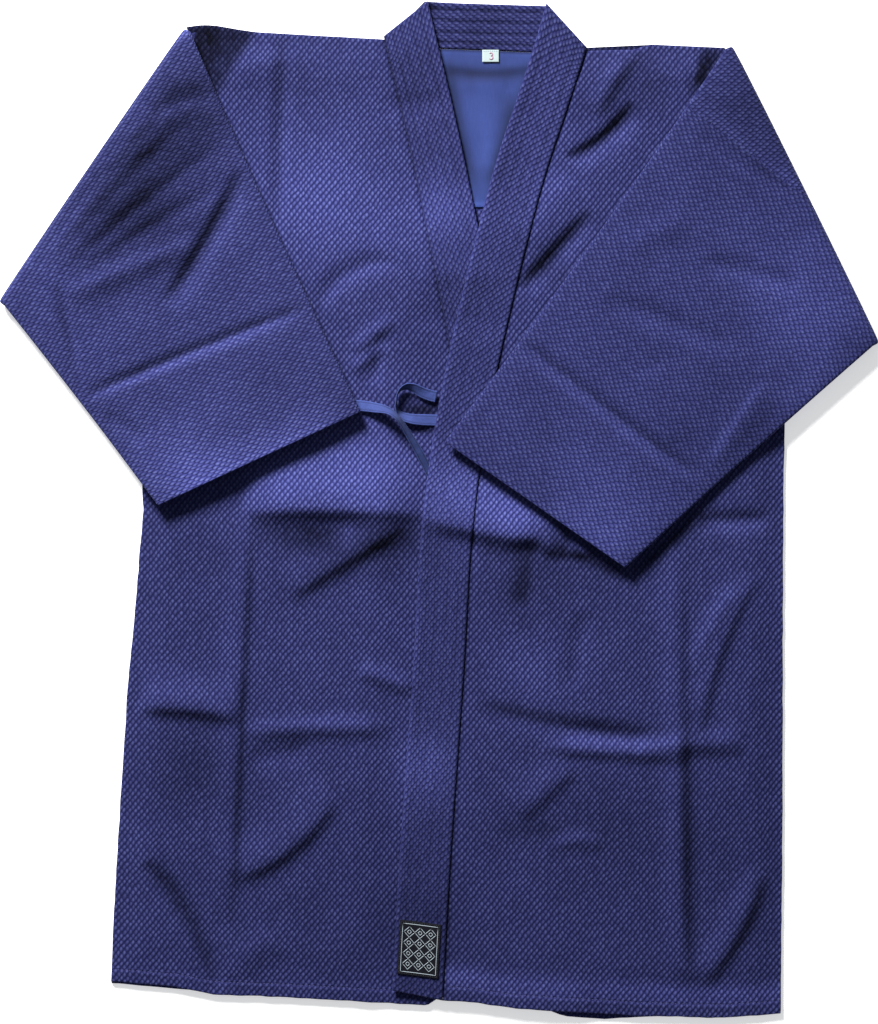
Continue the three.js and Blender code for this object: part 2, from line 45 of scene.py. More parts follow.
# Sizes that the model and its solids share
CLOTH = 1.8
BAND_CLOTH = 3.0
LINING_CLOTH = 1.0
TAPE_CLOTH = 1.2
LABEL_CLOTH = 0.8
SEAM_GAP = 0.3
BAND_WIDTH = 46
TIE_WIDTH = 10
SIZE_TAG = {"width": 15, "length": 11, "x": 46.5, "y": 409.4}
HEM_LABEL = {"width": 37, "length": 49, "x": -17.8, "y": -395}
FRONT_SEAM_Z = CLOTH + SEAM_GAP
RIGHT_LOFT = 3.0
LEFT_LOFT = 3.9
LEFT_TROUGH = {"over_band": 1.7, "past_band": 1.8}
SEWN_EDGE_SLOPE = 32
OVERLAP_CLEAR = 5
OVERLAP_SLOPE = 40
LINING_EDGE = {"top": 411.5, "y": 273, "slope_start": 215, "slope_end": 255}
RIGHT_OVER_LINING = 1.4
LEFT_OVER_LINING = 0.9
FREE_EDGE_LIFT = 1.2
HEM_FALL = {"share": 0.8, "reach": 50}
SLEEVE_FLOOR = 9.4
SLEEVE_DEPTH = {"armhole": 3.9, "under": 5.0, "edge": 4.8, "middle": 6.8}
CUFF_LIFT = 5.5
CUFF_LIFT_START = 0.55
SLEEVE_FADE = {"turn": 0.1, "edge": 0.08}


def table(columns, *rows):
    """Rows of numbers under named columns."""
    return dict(zip(columns.split(), np.array(rows, float).T))


# Outline of the body
RIGHT_SIDE = table("y x", (431, -219), (155, -270), (0, -267), (-81, -273.5), (-162, -281), (-270, -288),
                   (-378, -294), (-425, -296))
LEFT_SIDE = table("y x", (417, 257), (137, 313), (0, 310.5), (-162, 310), (-270, 310), (-454, 308))
BACK_TOP = table("x y", (-222, 439), (-200, 437.2), (-182, 434), (-166, 431.6), (-105, 428), (-47, 424.8),
                 (-5, 416.3), (40, 414.7), (85, 412.8), (130, 417.3), (190, 420), (257, 417))
RIGHT_FRONT_TOP = table("x y", (-222, 438.5), (-200, 436.8), (-182, 433.6), (-166, 431.2), (-105, 427.6),
                        (-47, 425))
LEFT_FRONT_TOP = table("x y", (130, 415), (175, 415), (190, 420), (257, 417))
BACK_HEM = table("x y", (-296, -427), (-239, -432), (-144, -439), (-60, -443), (-6, -438), (60, -444),
                 (96, -450), (112, -457), (150, -459.4), (180, -457.6), (235, -456), (308, -452))
RIGHT_HEM = table("x y", (-296, -425), (-239, -429.5), (-203, -437), (-144, -439), (-59, -444),
                  (-11, -446.5), (-2, -441), (6, -437), (61, -443))
LEFT_HEM = table("x y", (5, -440.5), (70, -449), (179, -456), (256, -458), (308, -454))

# Middle lines of the bands
RIGHT_BAND = table("x y", (-30, 443), (-23, 413), (-10.5, 361), (-1, 318), (10, 265), (39.5, 110),
                   (54, -6), (65.5, -145), (76.5, -317), (84, -443))
LEFT_BAND = table("x y", (115, 437), (108, 413), (91, 360), (77.5, 320), (64, 273), (26, 110), (8.5, -6),
                  (-0.5, -145), (-12.6, -317), (-19.3, -437))
BAND_CORNER = {"right": 11, "left": 14, "reach": 60}
BAND_FOOT = {"slant": 3.4, "reach": 40}
BAND_END_DROP = {"reach": 32, "resting_on": BAND_CLOTH + SEAM_GAP}
BAND_SEAM = {"right_start": 0.003, "left_start": 0.004, "across": 1 + 0.04 / BAND_WIDTH}
NECK_BAND = table("foot_x foot_y top_x top_y", (-47, 424.9, -13, 459), (-5, 416.4, 14, 457.6),
                  (40, 414.8, 44, 456.6), (85, 412.9, 75, 455.6), (130, 417.4, 97, 455))

# Sleeves: corners of the outline that shows
RIGHT_SLEEVE = {
    "fold_top": (-230, 434), "fold_under": (-397.1, 188), "cuff_top": (-70, 88), "cuff_under": (-252, 4),
    "armhole_top": (-219.5, 430.5), "armpit": (-270, 157), "top_bow": 2, "under_bow": 1,
}
LEFT_SLEEVE = {
    "fold_top": (265, 418), "fold_under": (397.1, 151), "cuff_top": (5, 61), "cuff_under": (167, -52),
    "armhole_top": (257.5, 417), "armpit": (313.1, 139), "top_bow": 3, "under_bow": 1,
}

# Middle line of each tie, with its roll in degrees
TIE = "x y z roll width"
RIGHT_TIE = table(
    TIE, (-179, 93, 7.9, 0, 10), (-150, 93.5, 7.9, 0, 10), (-120, 94, 7.9, 0, 10), (-96, 94.5, 8, 0, 10),
    (-80, 94.4, 8.6, 0, 10), (-67, 93.4, 10.4, 4, 9.6),
    (-57, 91.8, 13, 14, 9.2), (-49, 90.2, 17, 30, 8.6), (-43, 87.4, 20, 46, 8), (-38, 83.2, 20.2, 54, 7.6),
    (-33.4, 77.6, 17.8, 50, 7.4), (-28, 69, 13.6, 38, 7.6), (-21.6, 58.4, 9.8, 26, 7.8), (-15.8, 48, 7, 14, 7.8),
    (-10.8, 38, 5.2, 6, 7.4), (-7.6, 30.5, 5, 0, 6.4))
LEFT_TIE = table(
    TIE, (-2.6, 102, 7.6, 0, 10), (-8, 103.2, 8.2, 4, 10), (-15, 105.8, 9.2, 14, 9.6),
    (-22.4, 109.6, 10.6, 28, 9), (-28.6, 111, 11.4, 46, 8), (-34, 108.8, 12, 70, 7),
    (-37.2, 104.4, 12.2, 84, 6.6), (-38.4, 98, 12.1, 86, 6.6), (-38, 91.6, 11.4, 70, 7),
    (-35.6, 86.6, 10.2, 46, 8), (-31, 83.6, 9.4, 28, 9), (-23, 81.8, 8.6, 14, 9.6),
    (-14, 81.2, 6.8, 6, 10), (-6, 81, 5.2, 0, 10), (1, 80.8, 5, 0, 10), (10, 80.4, 5, 0, 10))

# Creases: a line bowed to its left, how far it reaches on its left and on its right, and its height
CREASE = "x0 y0 x1 y1 bow left right height"
BODY_CREASES = table(
    CREASE,
    (-178, 0, -8, -3, 3, 44, 10, 7.6),
    (-16, -5, 116, -29, -3, 36, 10, 6.8),
    (-136, -76, -32, -12, 0, 20, 8, 4.0),
    (-171, -3, -190, -374, 0, 5, 15, 2.2),
    (-272, -176, -178, -186, 3, 22, 8, 4.8),
    (-176, -200, -44, -197, 2, 9, 8, 2.6),
    (-172, -224, -116, -216, 0, 8, 13, -1.5),
    (-72, -144, -24, -163, 0, 8, 6, 2.2),
    (-188, -331, -94, -256, -12, 24, 8, 4.1),
    (-264, -316, -198, -436, 9, 8, 9, -3.8),
    (-190, -424, -150, -380, 0, 12, 16, 1.4),
    (-139, 432, -146, 250, 0, 7, 8, -2.1),
    (-52, 160, -58, 112, 0, 6, 7, -1.7),
    (-35, 223, -110, 184, -14, 9, 9, -2.1),
    (-78, 142, -40, 172, 0, 8, 6, 2.0),
    (-80, 124, -48, 149, 0, 7, 6, 1.8),
    (-56, 362, 14, 369, 0, 10, 12, -1.0),
    (-30, 176, 62, 166, 0, 12, 12, -1.3),
    (-20, 215, 60, 208, 0, 16, 12, 1.2),
    (84, -24, 76, -92, 0, 8, 11, -3.4),
    (90, -36, 140, -38, 0, 8, 5, 1.8),
    (214, -34, 220, -430, 0, 7, 13, 3.4),
    (34, -178, 217, -205, -7, 8, 9, -3.2),
    (90, -214, 226, -222, 0, 9, 6, 2.5),
    (180, -210, 276, -211, 0, 12, 9, 3.1),
    (233, -206, 284, -58, 8, 15, 6, 3.0),
    (228, -150, 268, -70, 4, 10, 6, 1.5),
    (234, -10, 300, -8, 0, 7, 9, -2.8),
    (236, -428, 292, -324, -5, 16, 7, 3.2),
    (72, -276, 122, -229, 0, 18, 8, 2.5),
    (54, -292, 114, -296, 0, 10, 14, -1.7),
    (94, -306, 150, -302, 6, 7, 7, 1.4),
    (131, -92, 118, -162, 0, 9, 9, -1.4),
    (176, 366, 114, 315, 6, 12, 5, -3.4),
    (182, 418, 141, 356, -4, 8, 11, 2.7),
    (138, 268, 72, 196, 0, 10, 6, -3.4),
    (118, 300, 84, 236, 0, 14, 14, 1.4),
    (-205, 385, -120, 402, 5, 14, 20, 1.7))
RIGHT_SLEEVE_CREASES = table(
    CREASE,
    (-229, 398, -361, 205, 0, 46, 12, 3.4),
    (-176, 306, -246, 183, 3, 12, 6, -3.2),
    (-321, 101, -114, 184, 2, 5, 4, -2.1),
    (-324, 88, -112, 170, 2, 7, 40, 1.5),
    (-342, 204, -322, 100, 0, 6, 6, -1.8),
    (-340, 190, -214, 242, 0, 8, 10, 2.0),
    (-300, 86, -262, 62, 0, 7, 9, -1.3),
    (-262, 352, -196, 372, 6, 12, 9, -2.0),
    (-312, 288, -226, 322, 5, 11, 14, -1.0),
    (-350, 216, -214, 360, 4, 7, 8, -0.95),
    (-338, 212, -192, 330, 3, 6, 7, -0.95),
    (-322, 212, -180, 300, 2, 5, 7, -0.8),
    (-356, 232, -250, 350, 3, 6, 7, -0.7),
    (-242, 6, -82, 80, 0, 5, 16, 1.3))
LEFT_SLEEVE_CREASES = table(
    CREASE,
    (72, 156, 236, 28, -2, 5, 4, -2.1),
    (64, 146, 228, 18, -2, 4, 26, 2.0),
    (230, 364, 330, 282, -3, 5, 4, 1.5),
    (234, 338, 322, 280, -3, 6, 6, -0.5),
    (236, 222, 324, 198, 3, 9, 9, -1.7),
    (148, 188, 262, 144, 4, 9, 11, -1.7),
    (246, 38, 295, 114, 2, 6, 15, 1.8),
    (190, 128, 214, 60, 0, 16, 16, 1.0),
    (330, 250, 384, 150, -8, 16, 20, 1.5),
    (166, 236, 226, 262, 0, 12, 12, 1.1))

# Painted light and shade in round places: the cloth is painted lighter or darker than its plain colour
SPOT = "x y radius share"
BODY_PAINTED_SPOTS = table(
    SPOT,
    (-116, 384, 46, -0.14),
    (-110, 280, 60, 0.62),
    (-50, 250, 50, 0.24),
    (-24, 390, 30, -0.14),
    (4, 268, 30, 0.80),
    (46, 436, 60, -0.22),
    (95, 398, 28, 0.16),
    (60, 260, 40, 0.14),
    (108, 290, 30, 0.30),
    (160, 385, 50, -0.26),
    (-80, 48, 62, 0.56),
    (-36, 42, 26, 0.24),
    (-140, 16, 34, 0.60),
    (-70, 10, 40, 0.50),
    (30, 10, 46, 0.70),
    (70, -8, 30, 0.90),
    (-100, -32, 34, -0.36),
    (-40, -34, 26, -0.36),
    (-100, -24, 40, -0.14),
    (-224, -230, 36, -0.28),
    (3, -32, 26, -0.18),
    (92, 346, 26, 0.16),
    (-209, -48, 44, -0.12),
    (80, -56, 50, -0.24),
    (82, -146, 30, 0.40),
    (-60, -120, 50, 0.10),
    (88, -288, 27, -0.16),
    (154, -284, 40, -0.20),
    (-200, -300, 90, -0.08),
    (-13, -230, 28, 0.62),
    (-15, -385, 44, -0.34),
    (240, -320, 60, -0.14),
    (103, 215, 14, -0.34))
SLEEVE_PAINTED_SPOTS = table(
    SPOT,
    (-228, 430, 8, 0.50),
    (-268, 296, 60, -0.54),
    (-220, 366, 44, -0.50),
    (-290, 246, 50, -0.24),
    (-330, 250, 40, -0.10),
    (-346, 205, 16, 0.20),
    (-220, 60, 80, 0.16),
    (-222, 30, 40, 0.46),
    (-242, 36, 28, 0.18),
    (273, 366, 34, -0.36),
    (300, 320, 26, -0.20),
    (140, 26, 50, 0.34),
    (160, -20, 40, 0.40),
    (329, 180, 56, 0.58),
    (324, 100, 26, 0.26),
    (207, 10, 22, 0.26))

# and along lines, painted shade and light, such as the shade at the bottom of a pressed crease
BODY_PAINTED_LINES = table(
    CREASE,
    (-264, -316, -198, -436, 9, 7, 8, -0.50),
    (84, -24, 76, -94, 0, 9, 12, -0.44),
    (34, -33, 76, -36, 0, 8, 12, -0.40),
    (34, -173, 180, -191, -4, 6, 9, -0.32),
    (239, 420, 230, 380, 0, 12, 2, -0.36),
    (-168, -3, -186, -374, 0, 4, 4, -0.24),
    (220, -200, 225, -430, 0, 8, 5, -0.34),
    (-139, 432, -146, 250, 0, 8, 8, -0.22),
    (176, 366, 114, 315, 6, 5, 5, -0.50),
    (138, 268, 72, 196, 0, 8, 6, -0.46),
    (236, -428, 292, -324, -12, 5, 7, -0.26),
    (-170, -14, -84, -18, 0, 4, 14, -0.46),
    (-80, -14, -14, -19, 0, 4, 18, -0.50),
    (-166, -26, -36, -31, 0, 15, 17, -0.26),
    (254, 422, 226, 370, 0, 10, 9, -0.56),
    (-35, 88.5, 1, 90.5, 0, 7, 5, -0.98),
    (-29, 73, 0, 72.5, 0, 3, 3.5, -0.85),
    (100, -28, 172, -62, 0, 6, 6, -0.55),
    (172, -62, 240, 0, 0, 6, 6, -0.55))
SLEEVE_PAINTED_LINES = table(
    CREASE,
    (-176, 306, -246, 183, 3, 6, 6, -0.36),
    (-342, 204, -322, 100, 0, 4, 4, -0.22),
    (-321, 101, -114, 184, 2, 2.4, 2.4, -0.50),
    (72, 156, 236, 28, -2, 2.4, 2.4, -0.40),
    (-238, 22, -86, 92, 0, 13, 13, 0.44),
    (100, 8, 166, -38, 0, 12, 12, 0.25),
    (229, 361, 330, 284, -3, 1.4, 2.6, 0.16))
# Painted shadow on the body's cloth between this line and the right sleeve
POCKET = {"x0": -163, "y0": 434, "x1": -202, "y1": 370, "edge": (-6, 7), "dark": 0.76,
          "corner": (-216, 428), "corner_reach": 30, "corner_dark": 0.14}
# The darkest that painted shade with random tone may make the cloth
DARKEST_TONE_AND_SHADE = -0.91

# The window is on this side of the jacket
LIT_SIDE = (-0.45, 0.89)
# How strongly slopes are painted lighter or darker by the way they face the window, and its limits
SLOPE_PAINT = {"share": 1.1, "darkest": -0.6, "lightest": 0.5}

# Smooth uneven waves: height, size and the seed of their random grid
NAP_RIPPLES = ((0.05, 70, 3), (0.05, 24, 4))
BODY_RIPPLES = ((0.35, 45, 11), (0.14, 16, 12))
SLEEVE_RIPPLES = ((0.35, 40, 51), (0.12, 15, 52))
RIPPLE_GRID = 64
RIPPLE_SHIFT = 20
# The higher this power, the closer to its ends a crease fades
CREASE_ENDS = 4


# Small helpers
def smooth(value, low, high):
    t = np.clip((value - low) / (high - low), 0, 1)
    return t * t * (3 - 2 * t)


def lerp(a, b, t):
    return a + (b - a) * t


def hill(away, reach):
    """One in the middle and fading to nothing on both sides."""
    return np.exp(-(away / reach) ** 2)


def read_table(rows, key, place, value):
    """Reads one column at a place in another, along straight lines between the rows."""
    order = np.argsort(rows[key])
    return np.interp(place, rows[key][order], rows[value][order])


def rows_of(rows):
    names = list(rows)
    return [dict(zip(names, values)) for values in zip(*rows.values())]


def crease_height(creases, x, y):
    height = np.zeros(np.broadcast(x, y).shape)
    for row in rows_of(creases):
        dx = row["x1"] - row["x0"]
        dy = row["y1"] - row["y0"]
        length = math.hypot(dx, dy)
        t = ((x - row["x0"]) * dx + (y - row["y0"]) * dy) / length ** 2
        inside = np.clip(t, 0, 1)
        away = ((y - row["y0"]) * dx - (x - row["x0"]) * dy) / length
        away = away - row["bow"] * 4 * inside * (1 - inside)
        reach = np.where(away > 0, row["left"], row["right"])
        fade = np.clip(1 - (2 * inside - 1) ** CREASE_ENDS, 0, 1)
        height = height + row["height"] * fade * hill(away, reach)
    return height


def ripple(x, y, size, seed):
    """Smooth uneven waves of about one unit, the same on each run."""
    grid = np.random.default_rng(seed).uniform(-1, 1, (RIPPLE_GRID, RIPPLE_GRID))
    gx = np.asarray(x) / size + RIPPLE_SHIFT
    gy = np.asarray(y) / size + RIPPLE_SHIFT
    ix = np.floor(gx).astype(int)
    iy = np.floor(gy).astype(int)
    fx = smooth(gx - ix, 0, 1)
    fy = smooth(gy - iy, 0, 1)

    def at(i, j):
        return grid[(ix + i) % RIPPLE_GRID, (iy + j) % RIPPLE_GRID]

    return lerp(lerp(at(0, 0), at(1, 0), fx), lerp(at(0, 1), at(1, 1), fx), fy)


def ripples(x, y, rows):
    return sum(height * ripple(x, y, size, seed) for height, size, seed in rows)


def painted_slope_light(creases, x, y):
    """Painted light and shade: slopes that face the window are painted lighter than flat cloth, and those behind
    a crease darker.
    """
    dx, dy = LIT_SIDE
    rise = (crease_height(creases, x + dx, y + dy) - crease_height(creases, x - dx, y - dy)) / 2
    return np.clip(-SLOPE_PAINT["share"] * rise, SLOPE_PAINT["darkest"], SLOPE_PAINT["lightest"])


def painted_light_and_tone_at(x, y, creases=None, spots=BODY_PAINTED_SPOTS, lines=BODY_PAINTED_LINES):
    """Random tone with painted light and shade, as a share lighter or darker than the cloth's plain colour."""
    share = ripples(x, y, NAP_RIPPLES)
    for row in rows_of(spots):
        share = share + row["share"] * hill(np.hypot(x - row["x"], y - row["y"]), row["radius"])
    if creases is not None:
        share = share + painted_slope_light(creases, x, y)
    return share + crease_height(lines, x, y)


# Painted shadow beside the right sleeve, darkest at the shoulder's corner
def painted_pocket_shadow(x, y):
    dx = POCKET["x1"] - POCKET["x0"]
    dy = POCKET["y1"] - POCKET["y0"]
    inside = ((x - POCKET["x0"]) * dy - (y - POCKET["y0"]) * dx) / math.hypot(dx, dy)
    from_corner = np.hypot(x - POCKET["corner"][0], y - POCKET["corner"][1])
    return (-POCKET["dark"] * smooth(inside, *POCKET["edge"])
            - POCKET["corner_dark"] * hill(from_corner, POCKET["corner_reach"]))


CURVE_STEPS = {"band": 60, "tie": 40}


def spline(points, count):
    """Centripetal curve through points, evenly read, as the solids' curves are."""
    points = np.asarray(points, float)
    ends = [2 * points[0] - points[1], *points, 2 * points[-1] - points[-2]]
    samples = []
    for k in range(len(points) - 1):
        p0, p1, p2, p3 = ends[k:k + 4]
        d0, d1, d2 = (math.sqrt(np.linalg.norm(b - a)) for a, b in ((p0, p1), (p1, p2), (p2, p3)))
        m1 = ((p1 - p0) / d0 - (p2 - p0) / (d0 + d1) + (p2 - p1) / d1) * d1
        m2 = ((p2 - p1) / d1 - (p3 - p1) / (d1 + d2) + (p3 - p2) / d2) * d1
        last = k == len(points) - 2
        t = np.linspace(0, 1, count, endpoint=last)[:, None]
        samples.append(p1 + m1 * t + (3 * (p2 - p1) - 2 * m1 - m2) * t ** 2
                       + (2 * (p1 - p2) + m1 + m2) * t ** 3)
    return np.concatenate(samples)


class Line:
    """A curve read by its share of length."""

    def __init__(self, points):
        self.points = points
        steps = np.linalg.norm(np.diff(points, axis=0), axis=1)
        self.place = np.concatenate([[0], np.cumsum(steps)])
        self.length = self.place[-1]
        slopes = np.gradient(points, self.place, axis=0)
        self.slopes = slopes / np.linalg.norm(slopes, axis=1)[:, None]

    def read(self, values, s):
        place = np.clip(s, 0, 1) * self.length
        return np.stack([np.interp(place, self.place, values[:, k]) for k in range(values.shape[1])], -1)

    def at(self, s):
        return self.read(self.points, s)

    def along(self, s):
        return self.read(self.slopes, s)


class Band(Line):
    """A flat band: s runs from the neck to the hem and across from -1 to 1."""

    def __init__(self, rows, corner, foot=0):
        super().__init__(spline(np.stack([rows["x"], rows["y"]], -1), CURVE_STEPS["band"]))
        self.corner = corner
        self.foot = foot

    def point_at(self, s, across):
        along = self.along(s)
        side = np.stack([-along[..., 1], along[..., 0]], -1)
        slant = self.corner * across * (1 - smooth(s * self.length, 0, BAND_CORNER["reach"]))
        foot_start = self.length - BAND_FOOT["reach"]
        slant = slant - self.foot * across * smooth(s * self.length, foot_start, self.length)
        return self.at(s) + side * (across * BAND_WIDTH / 2)[..., None] - along * slant[..., None]


right_band = Band(RIGHT_BAND, BAND_CORNER["right"])
left_band = Band(LEFT_BAND, -BAND_CORNER["left"], BAND_FOOT["slant"])


# How high the layers lie
def left_band_x(y):
    return read_table(LEFT_BAND, "y", y, "x")


def right_band_x(y):
    return read_table(RIGHT_BAND, "y", y, "x")


def past_free_edge(x, y):
    lean = np.hypot(1, (left_band_x(y + 1) - left_band_x(y - 1)) / 2)
    return (left_band_x(y) - x) / lean - BAND_WIDTH / 2


def over_lining(y):
    return smooth(y, LINING_EDGE["slope_start"], LINING_EDGE["slope_end"])


def shows_at(x, y):
    return smooth(past_free_edge(x, y), OVERLAP_CLEAR, OVERLAP_CLEAR + OVERLAP_SLOPE)


def clear_of_band(away):
    return smooth(away, BAND_WIDTH / 2 + OVERLAP_CLEAR, BAND_WIDTH / 2 + OVERLAP_SLOPE)


NO_LIMIT = 1e3


def sleeve_cap(corners, x, y):
    """How high the cloth below a sleeve may lie: no limit outside the sleeve."""
    ring = [np.array(corners[k], float) for k in ("fold_top", "cuff_top", "cuff_under", "fold_under")]
    centre = sum(ring) / 4
    inside = np.full(np.shape(x), NO_LIMIT)
    for a, b in zip(ring, ring[1:] + ring[:1]):
        normal = np.array([-(b - a)[1], (b - a)[0]]) / np.linalg.norm(b - a)
        normal *= np.sign(np.dot(centre - a, normal))
        away = (x - a[0]) * normal[0] + (y - a[1]) * normal[1]
        if a is ring[1]:
            from_cuff = away
        inside = np.minimum(inside, away)
    length = np.linalg.norm((ring[0] + ring[3] - ring[1] - ring[2]) / 2)
    lift = CUFF_LIFT * smooth(1 - from_cuff / length, CUFF_LIFT_START, 1)
    return np.where(inside > -1, SLEEVE_FLOOR - SEAM_GAP + lift, NO_LIMIT)


def body_waves(x, y):
    return crease_height(BODY_CREASES, x, y) + ripples(x, y, BODY_RIPPLES)


def right_level(x, y):
    """Underside of the right front and its band above the seam level."""
    shows = shows_at(x, y)
    level = lerp(RIGHT_OVER_LINING * over_lining(y), RIGHT_LOFT, shows)
    waves = body_waves(x, y)
    return level + np.where(waves < 0, waves * shows, waves)


def left_level(x, y):
    """Underside of the left front and its band above the seam level."""
    waves = body_waves(x, y)
    from_right_band = x - right_band_x(y)
    past_right_band = smooth(from_right_band, BAND_WIDTH / 2, BAND_WIDTH)
    deepest = -LEFT_TROUGH["over_band"] - LEFT_TROUGH["past_band"] * past_right_band
    lowered = np.maximum(waves, deepest) * clear_of_band(np.abs(from_right_band))
    return LEFT_LOFT + LEFT_OVER_LINING * over_lining(y) + np.where(waves < 0, lowered, waves)


def rise_from_seams(side, x, y):
    from_side = np.abs(x - read_table(side, "y", y, "x"))
    from_top = np.maximum(read_table(BACK_TOP, "x", x, "y") - y, 0)
    return smooth(from_side, 0, SEWN_EDGE_SLOPE) * smooth(from_top, 0, SEWN_EDGE_SLOPE)


def below_sleeves(floor, thickness, x, y):
    cap = np.minimum(sleeve_cap(RIGHT_SLEEVE, x, y), sleeve_cap(LEFT_SLEEVE, x, y))
    return np.maximum(np.minimum(floor, cap - thickness), FRONT_SEAM_Z)


def hem_fall(hem, single, x, y):
    """Where a front lies on the back alone, its hem comes down to it."""
    from_hem = y - read_table(hem, "x", x, "y")
    return 1 - HEM_FALL["share"] * single * (1 - smooth(from_hem, 0, HEM_FALL["reach"]))


def right_front_floor(x, y):
    fall = hem_fall(RIGHT_HEM, shows_at(x, y), x, y)
    floor = FRONT_SEAM_Z + fall * rise_from_seams(RIGHT_SIDE, x, y) * right_level(x, y)
    return below_sleeves(floor, CLOTH, x, y)


def left_front_floor(x, y):
    fall = hem_fall(LEFT_HEM, clear_of_band(x - right_band_x(y)), x, y)
    floor = FRONT_SEAM_Z + fall * rise_from_seams(LEFT_SIDE, x, y) * left_level(x, y)
    return below_sleeves(floor, CLOTH, x, y)


# Meshes
def add_mesh(name, points, faces, uv, uv_faces, material, nodes, shades=None):
    """Makes one closed piece from points in millimetres and quads, and hides the solids that it stands for."""
    corner = points[faces]
    volume = np.einsum("ij,ij->i", corner[:, 0], np.cross(corner[:, 1], corner[:, 2])).sum()
    volume += np.einsum("ij,ij->i", corner[:, 0], np.cross(corner[:, 2], corner[:, 3])).sum()
    if volume < 0:
        faces = faces[:, ::-1]
        uv_faces = uv_faces[:, ::-1]
    mesh = bpy.data.meshes.new(name)
    mesh.vertices.add(len(points))
    mesh.vertices.foreach_set("co", (points * MM).ravel())
    mesh.loops.add(faces.size)
    mesh.loops.foreach_set("vertex_index", np.ascontiguousarray(faces).ravel())
    mesh.polygons.add(len(faces))
    mesh.polygons.foreach_set("loop_start", np.arange(len(faces)) * 4)
    mesh.polygons.foreach_set("use_smooth", np.ones(len(faces), bool))
    mesh.update(calc_edges=True)
    layer = mesh.uv_layers.new(name="cloth")
    layer.data.foreach_set("uv", (uv[uv_faces.ravel()] * MM).ravel())
    for key, values in (shades or {}).items():
        attribute = mesh.attributes.new(key, "FLOAT", "POINT")
        attribute.data.foreach_set("value", np.asarray(values, float).ravel())
    mesh.materials.append(material)
    piece = bpy.data.objects.new(name, mesh)
    bpy.context.scene.collection.objects.link(piece)
    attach(piece, BODY)
    if nodes:
        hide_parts(*nodes)
    return piece


def grid_faces(rows, columns):
    i, j = np.meshgrid(np.arange(rows - 1), np.arange(columns - 1), indexing="ij")
    a = (i * columns + j).ravel()
    return np.stack([a, a + 1, a + columns + 1, a + columns], -1)


EDGE_STEPS = np.array([0, 0.13, 0.5, 1.0])
WORN_EDGE = 5


def places(length, radius, spacing, extra_end=()):
    """Shares of a length, closer together at its rounded ends and at extra places near its end."""
    start = [radius * step for step in EDGE_STEPS]
    end = [length - radius * step for step in EDGE_STEPS] + [length - place for place in extra_end]
    first = max(start)
    last = min(end)
    count = max(int(round((last - first) / spacing)), 1)
    middle = np.linspace(first, last, count + 1)[1:-1]
    return np.array(sorted({round(p, 4) for p in [*start, *middle, *end]})) / length


def rounded(distance, radius):
    q = np.clip(distance / radius, 0, 1)
    return np.sqrt(np.clip(1 - (1 - q) ** 2, 0, 1))


def two_sides(over, under):
    """Joins an upper and a lower grid of points at the border that they share."""
    rows, columns = over.shape[:2]
    border = np.zeros((rows, columns), bool)
    border[[0, -1], :] = True
    border[:, [0, -1]] = True
    lower = np.arange(rows * columns).reshape(rows, columns)
    lower[~border] = rows * columns + np.arange((~border).sum())
    points = np.concatenate([over.reshape(-1, 3), under[~border]])
    quads = grid_faces(rows, columns)
    faces = np.concatenate([quads, lower.ravel()[quads][:, ::-1]])
    return points, faces, np.concatenate([quads, quads[:, ::-1]]), border


def on_both(values, border):
    return np.concatenate([values.ravel(), values[~border]])


def lay_cloth(name, u, v, size, thickness, plan, floor, material, uv=None, extra=None,
              creases=None, shade=None):
    """A panel with rounded edges: plan gives x and y, and floor the height of its underside."""
    U, V = np.meshgrid(u, v)
    x, y = plan(U, V)
    width, length = size
    distance = np.minimum(np.minimum(U, 1 - U) * width, np.minimum(V, 1 - V) * length)
    round_share = rounded(distance, thickness / 2)
    half = thickness / 2 * round_share
    middle = floor(x, y) + thickness / 2
    added = extra(U, V, x, y) if extra else 0
    over = np.stack([x, y, middle + half + added * round_share], -1)
    under = np.stack([x, y, middle - half], -1)
    points, faces, uv_faces, border = two_sides(over, under)
    cloth_uv = np.stack(uv(U, V, x, y) if uv else (x, y), -1).reshape(-1, 2)
    wear = 1 - smooth(distance, 0, WORN_EDGE)
    # Random tone with painted light and shade, kept on the cloth for its material
    painted_light_and_tone = painted_light_and_tone_at(x, y, creases)
    if shade:
        painted_light_and_tone = painted_light_and_tone + shade(U, V, x, y)
    shades = {"wear": on_both(wear, border), "painted_light_and_tone": on_both(np.maximum(painted_light_and_tone, DARKEST_TONE_AND_SHADE), border)}
    return add_mesh(name, points, faces, cloth_uv, uv_faces, material, [name], shades)


# Materials
SHEEN_ROUGHNESS = 0.45


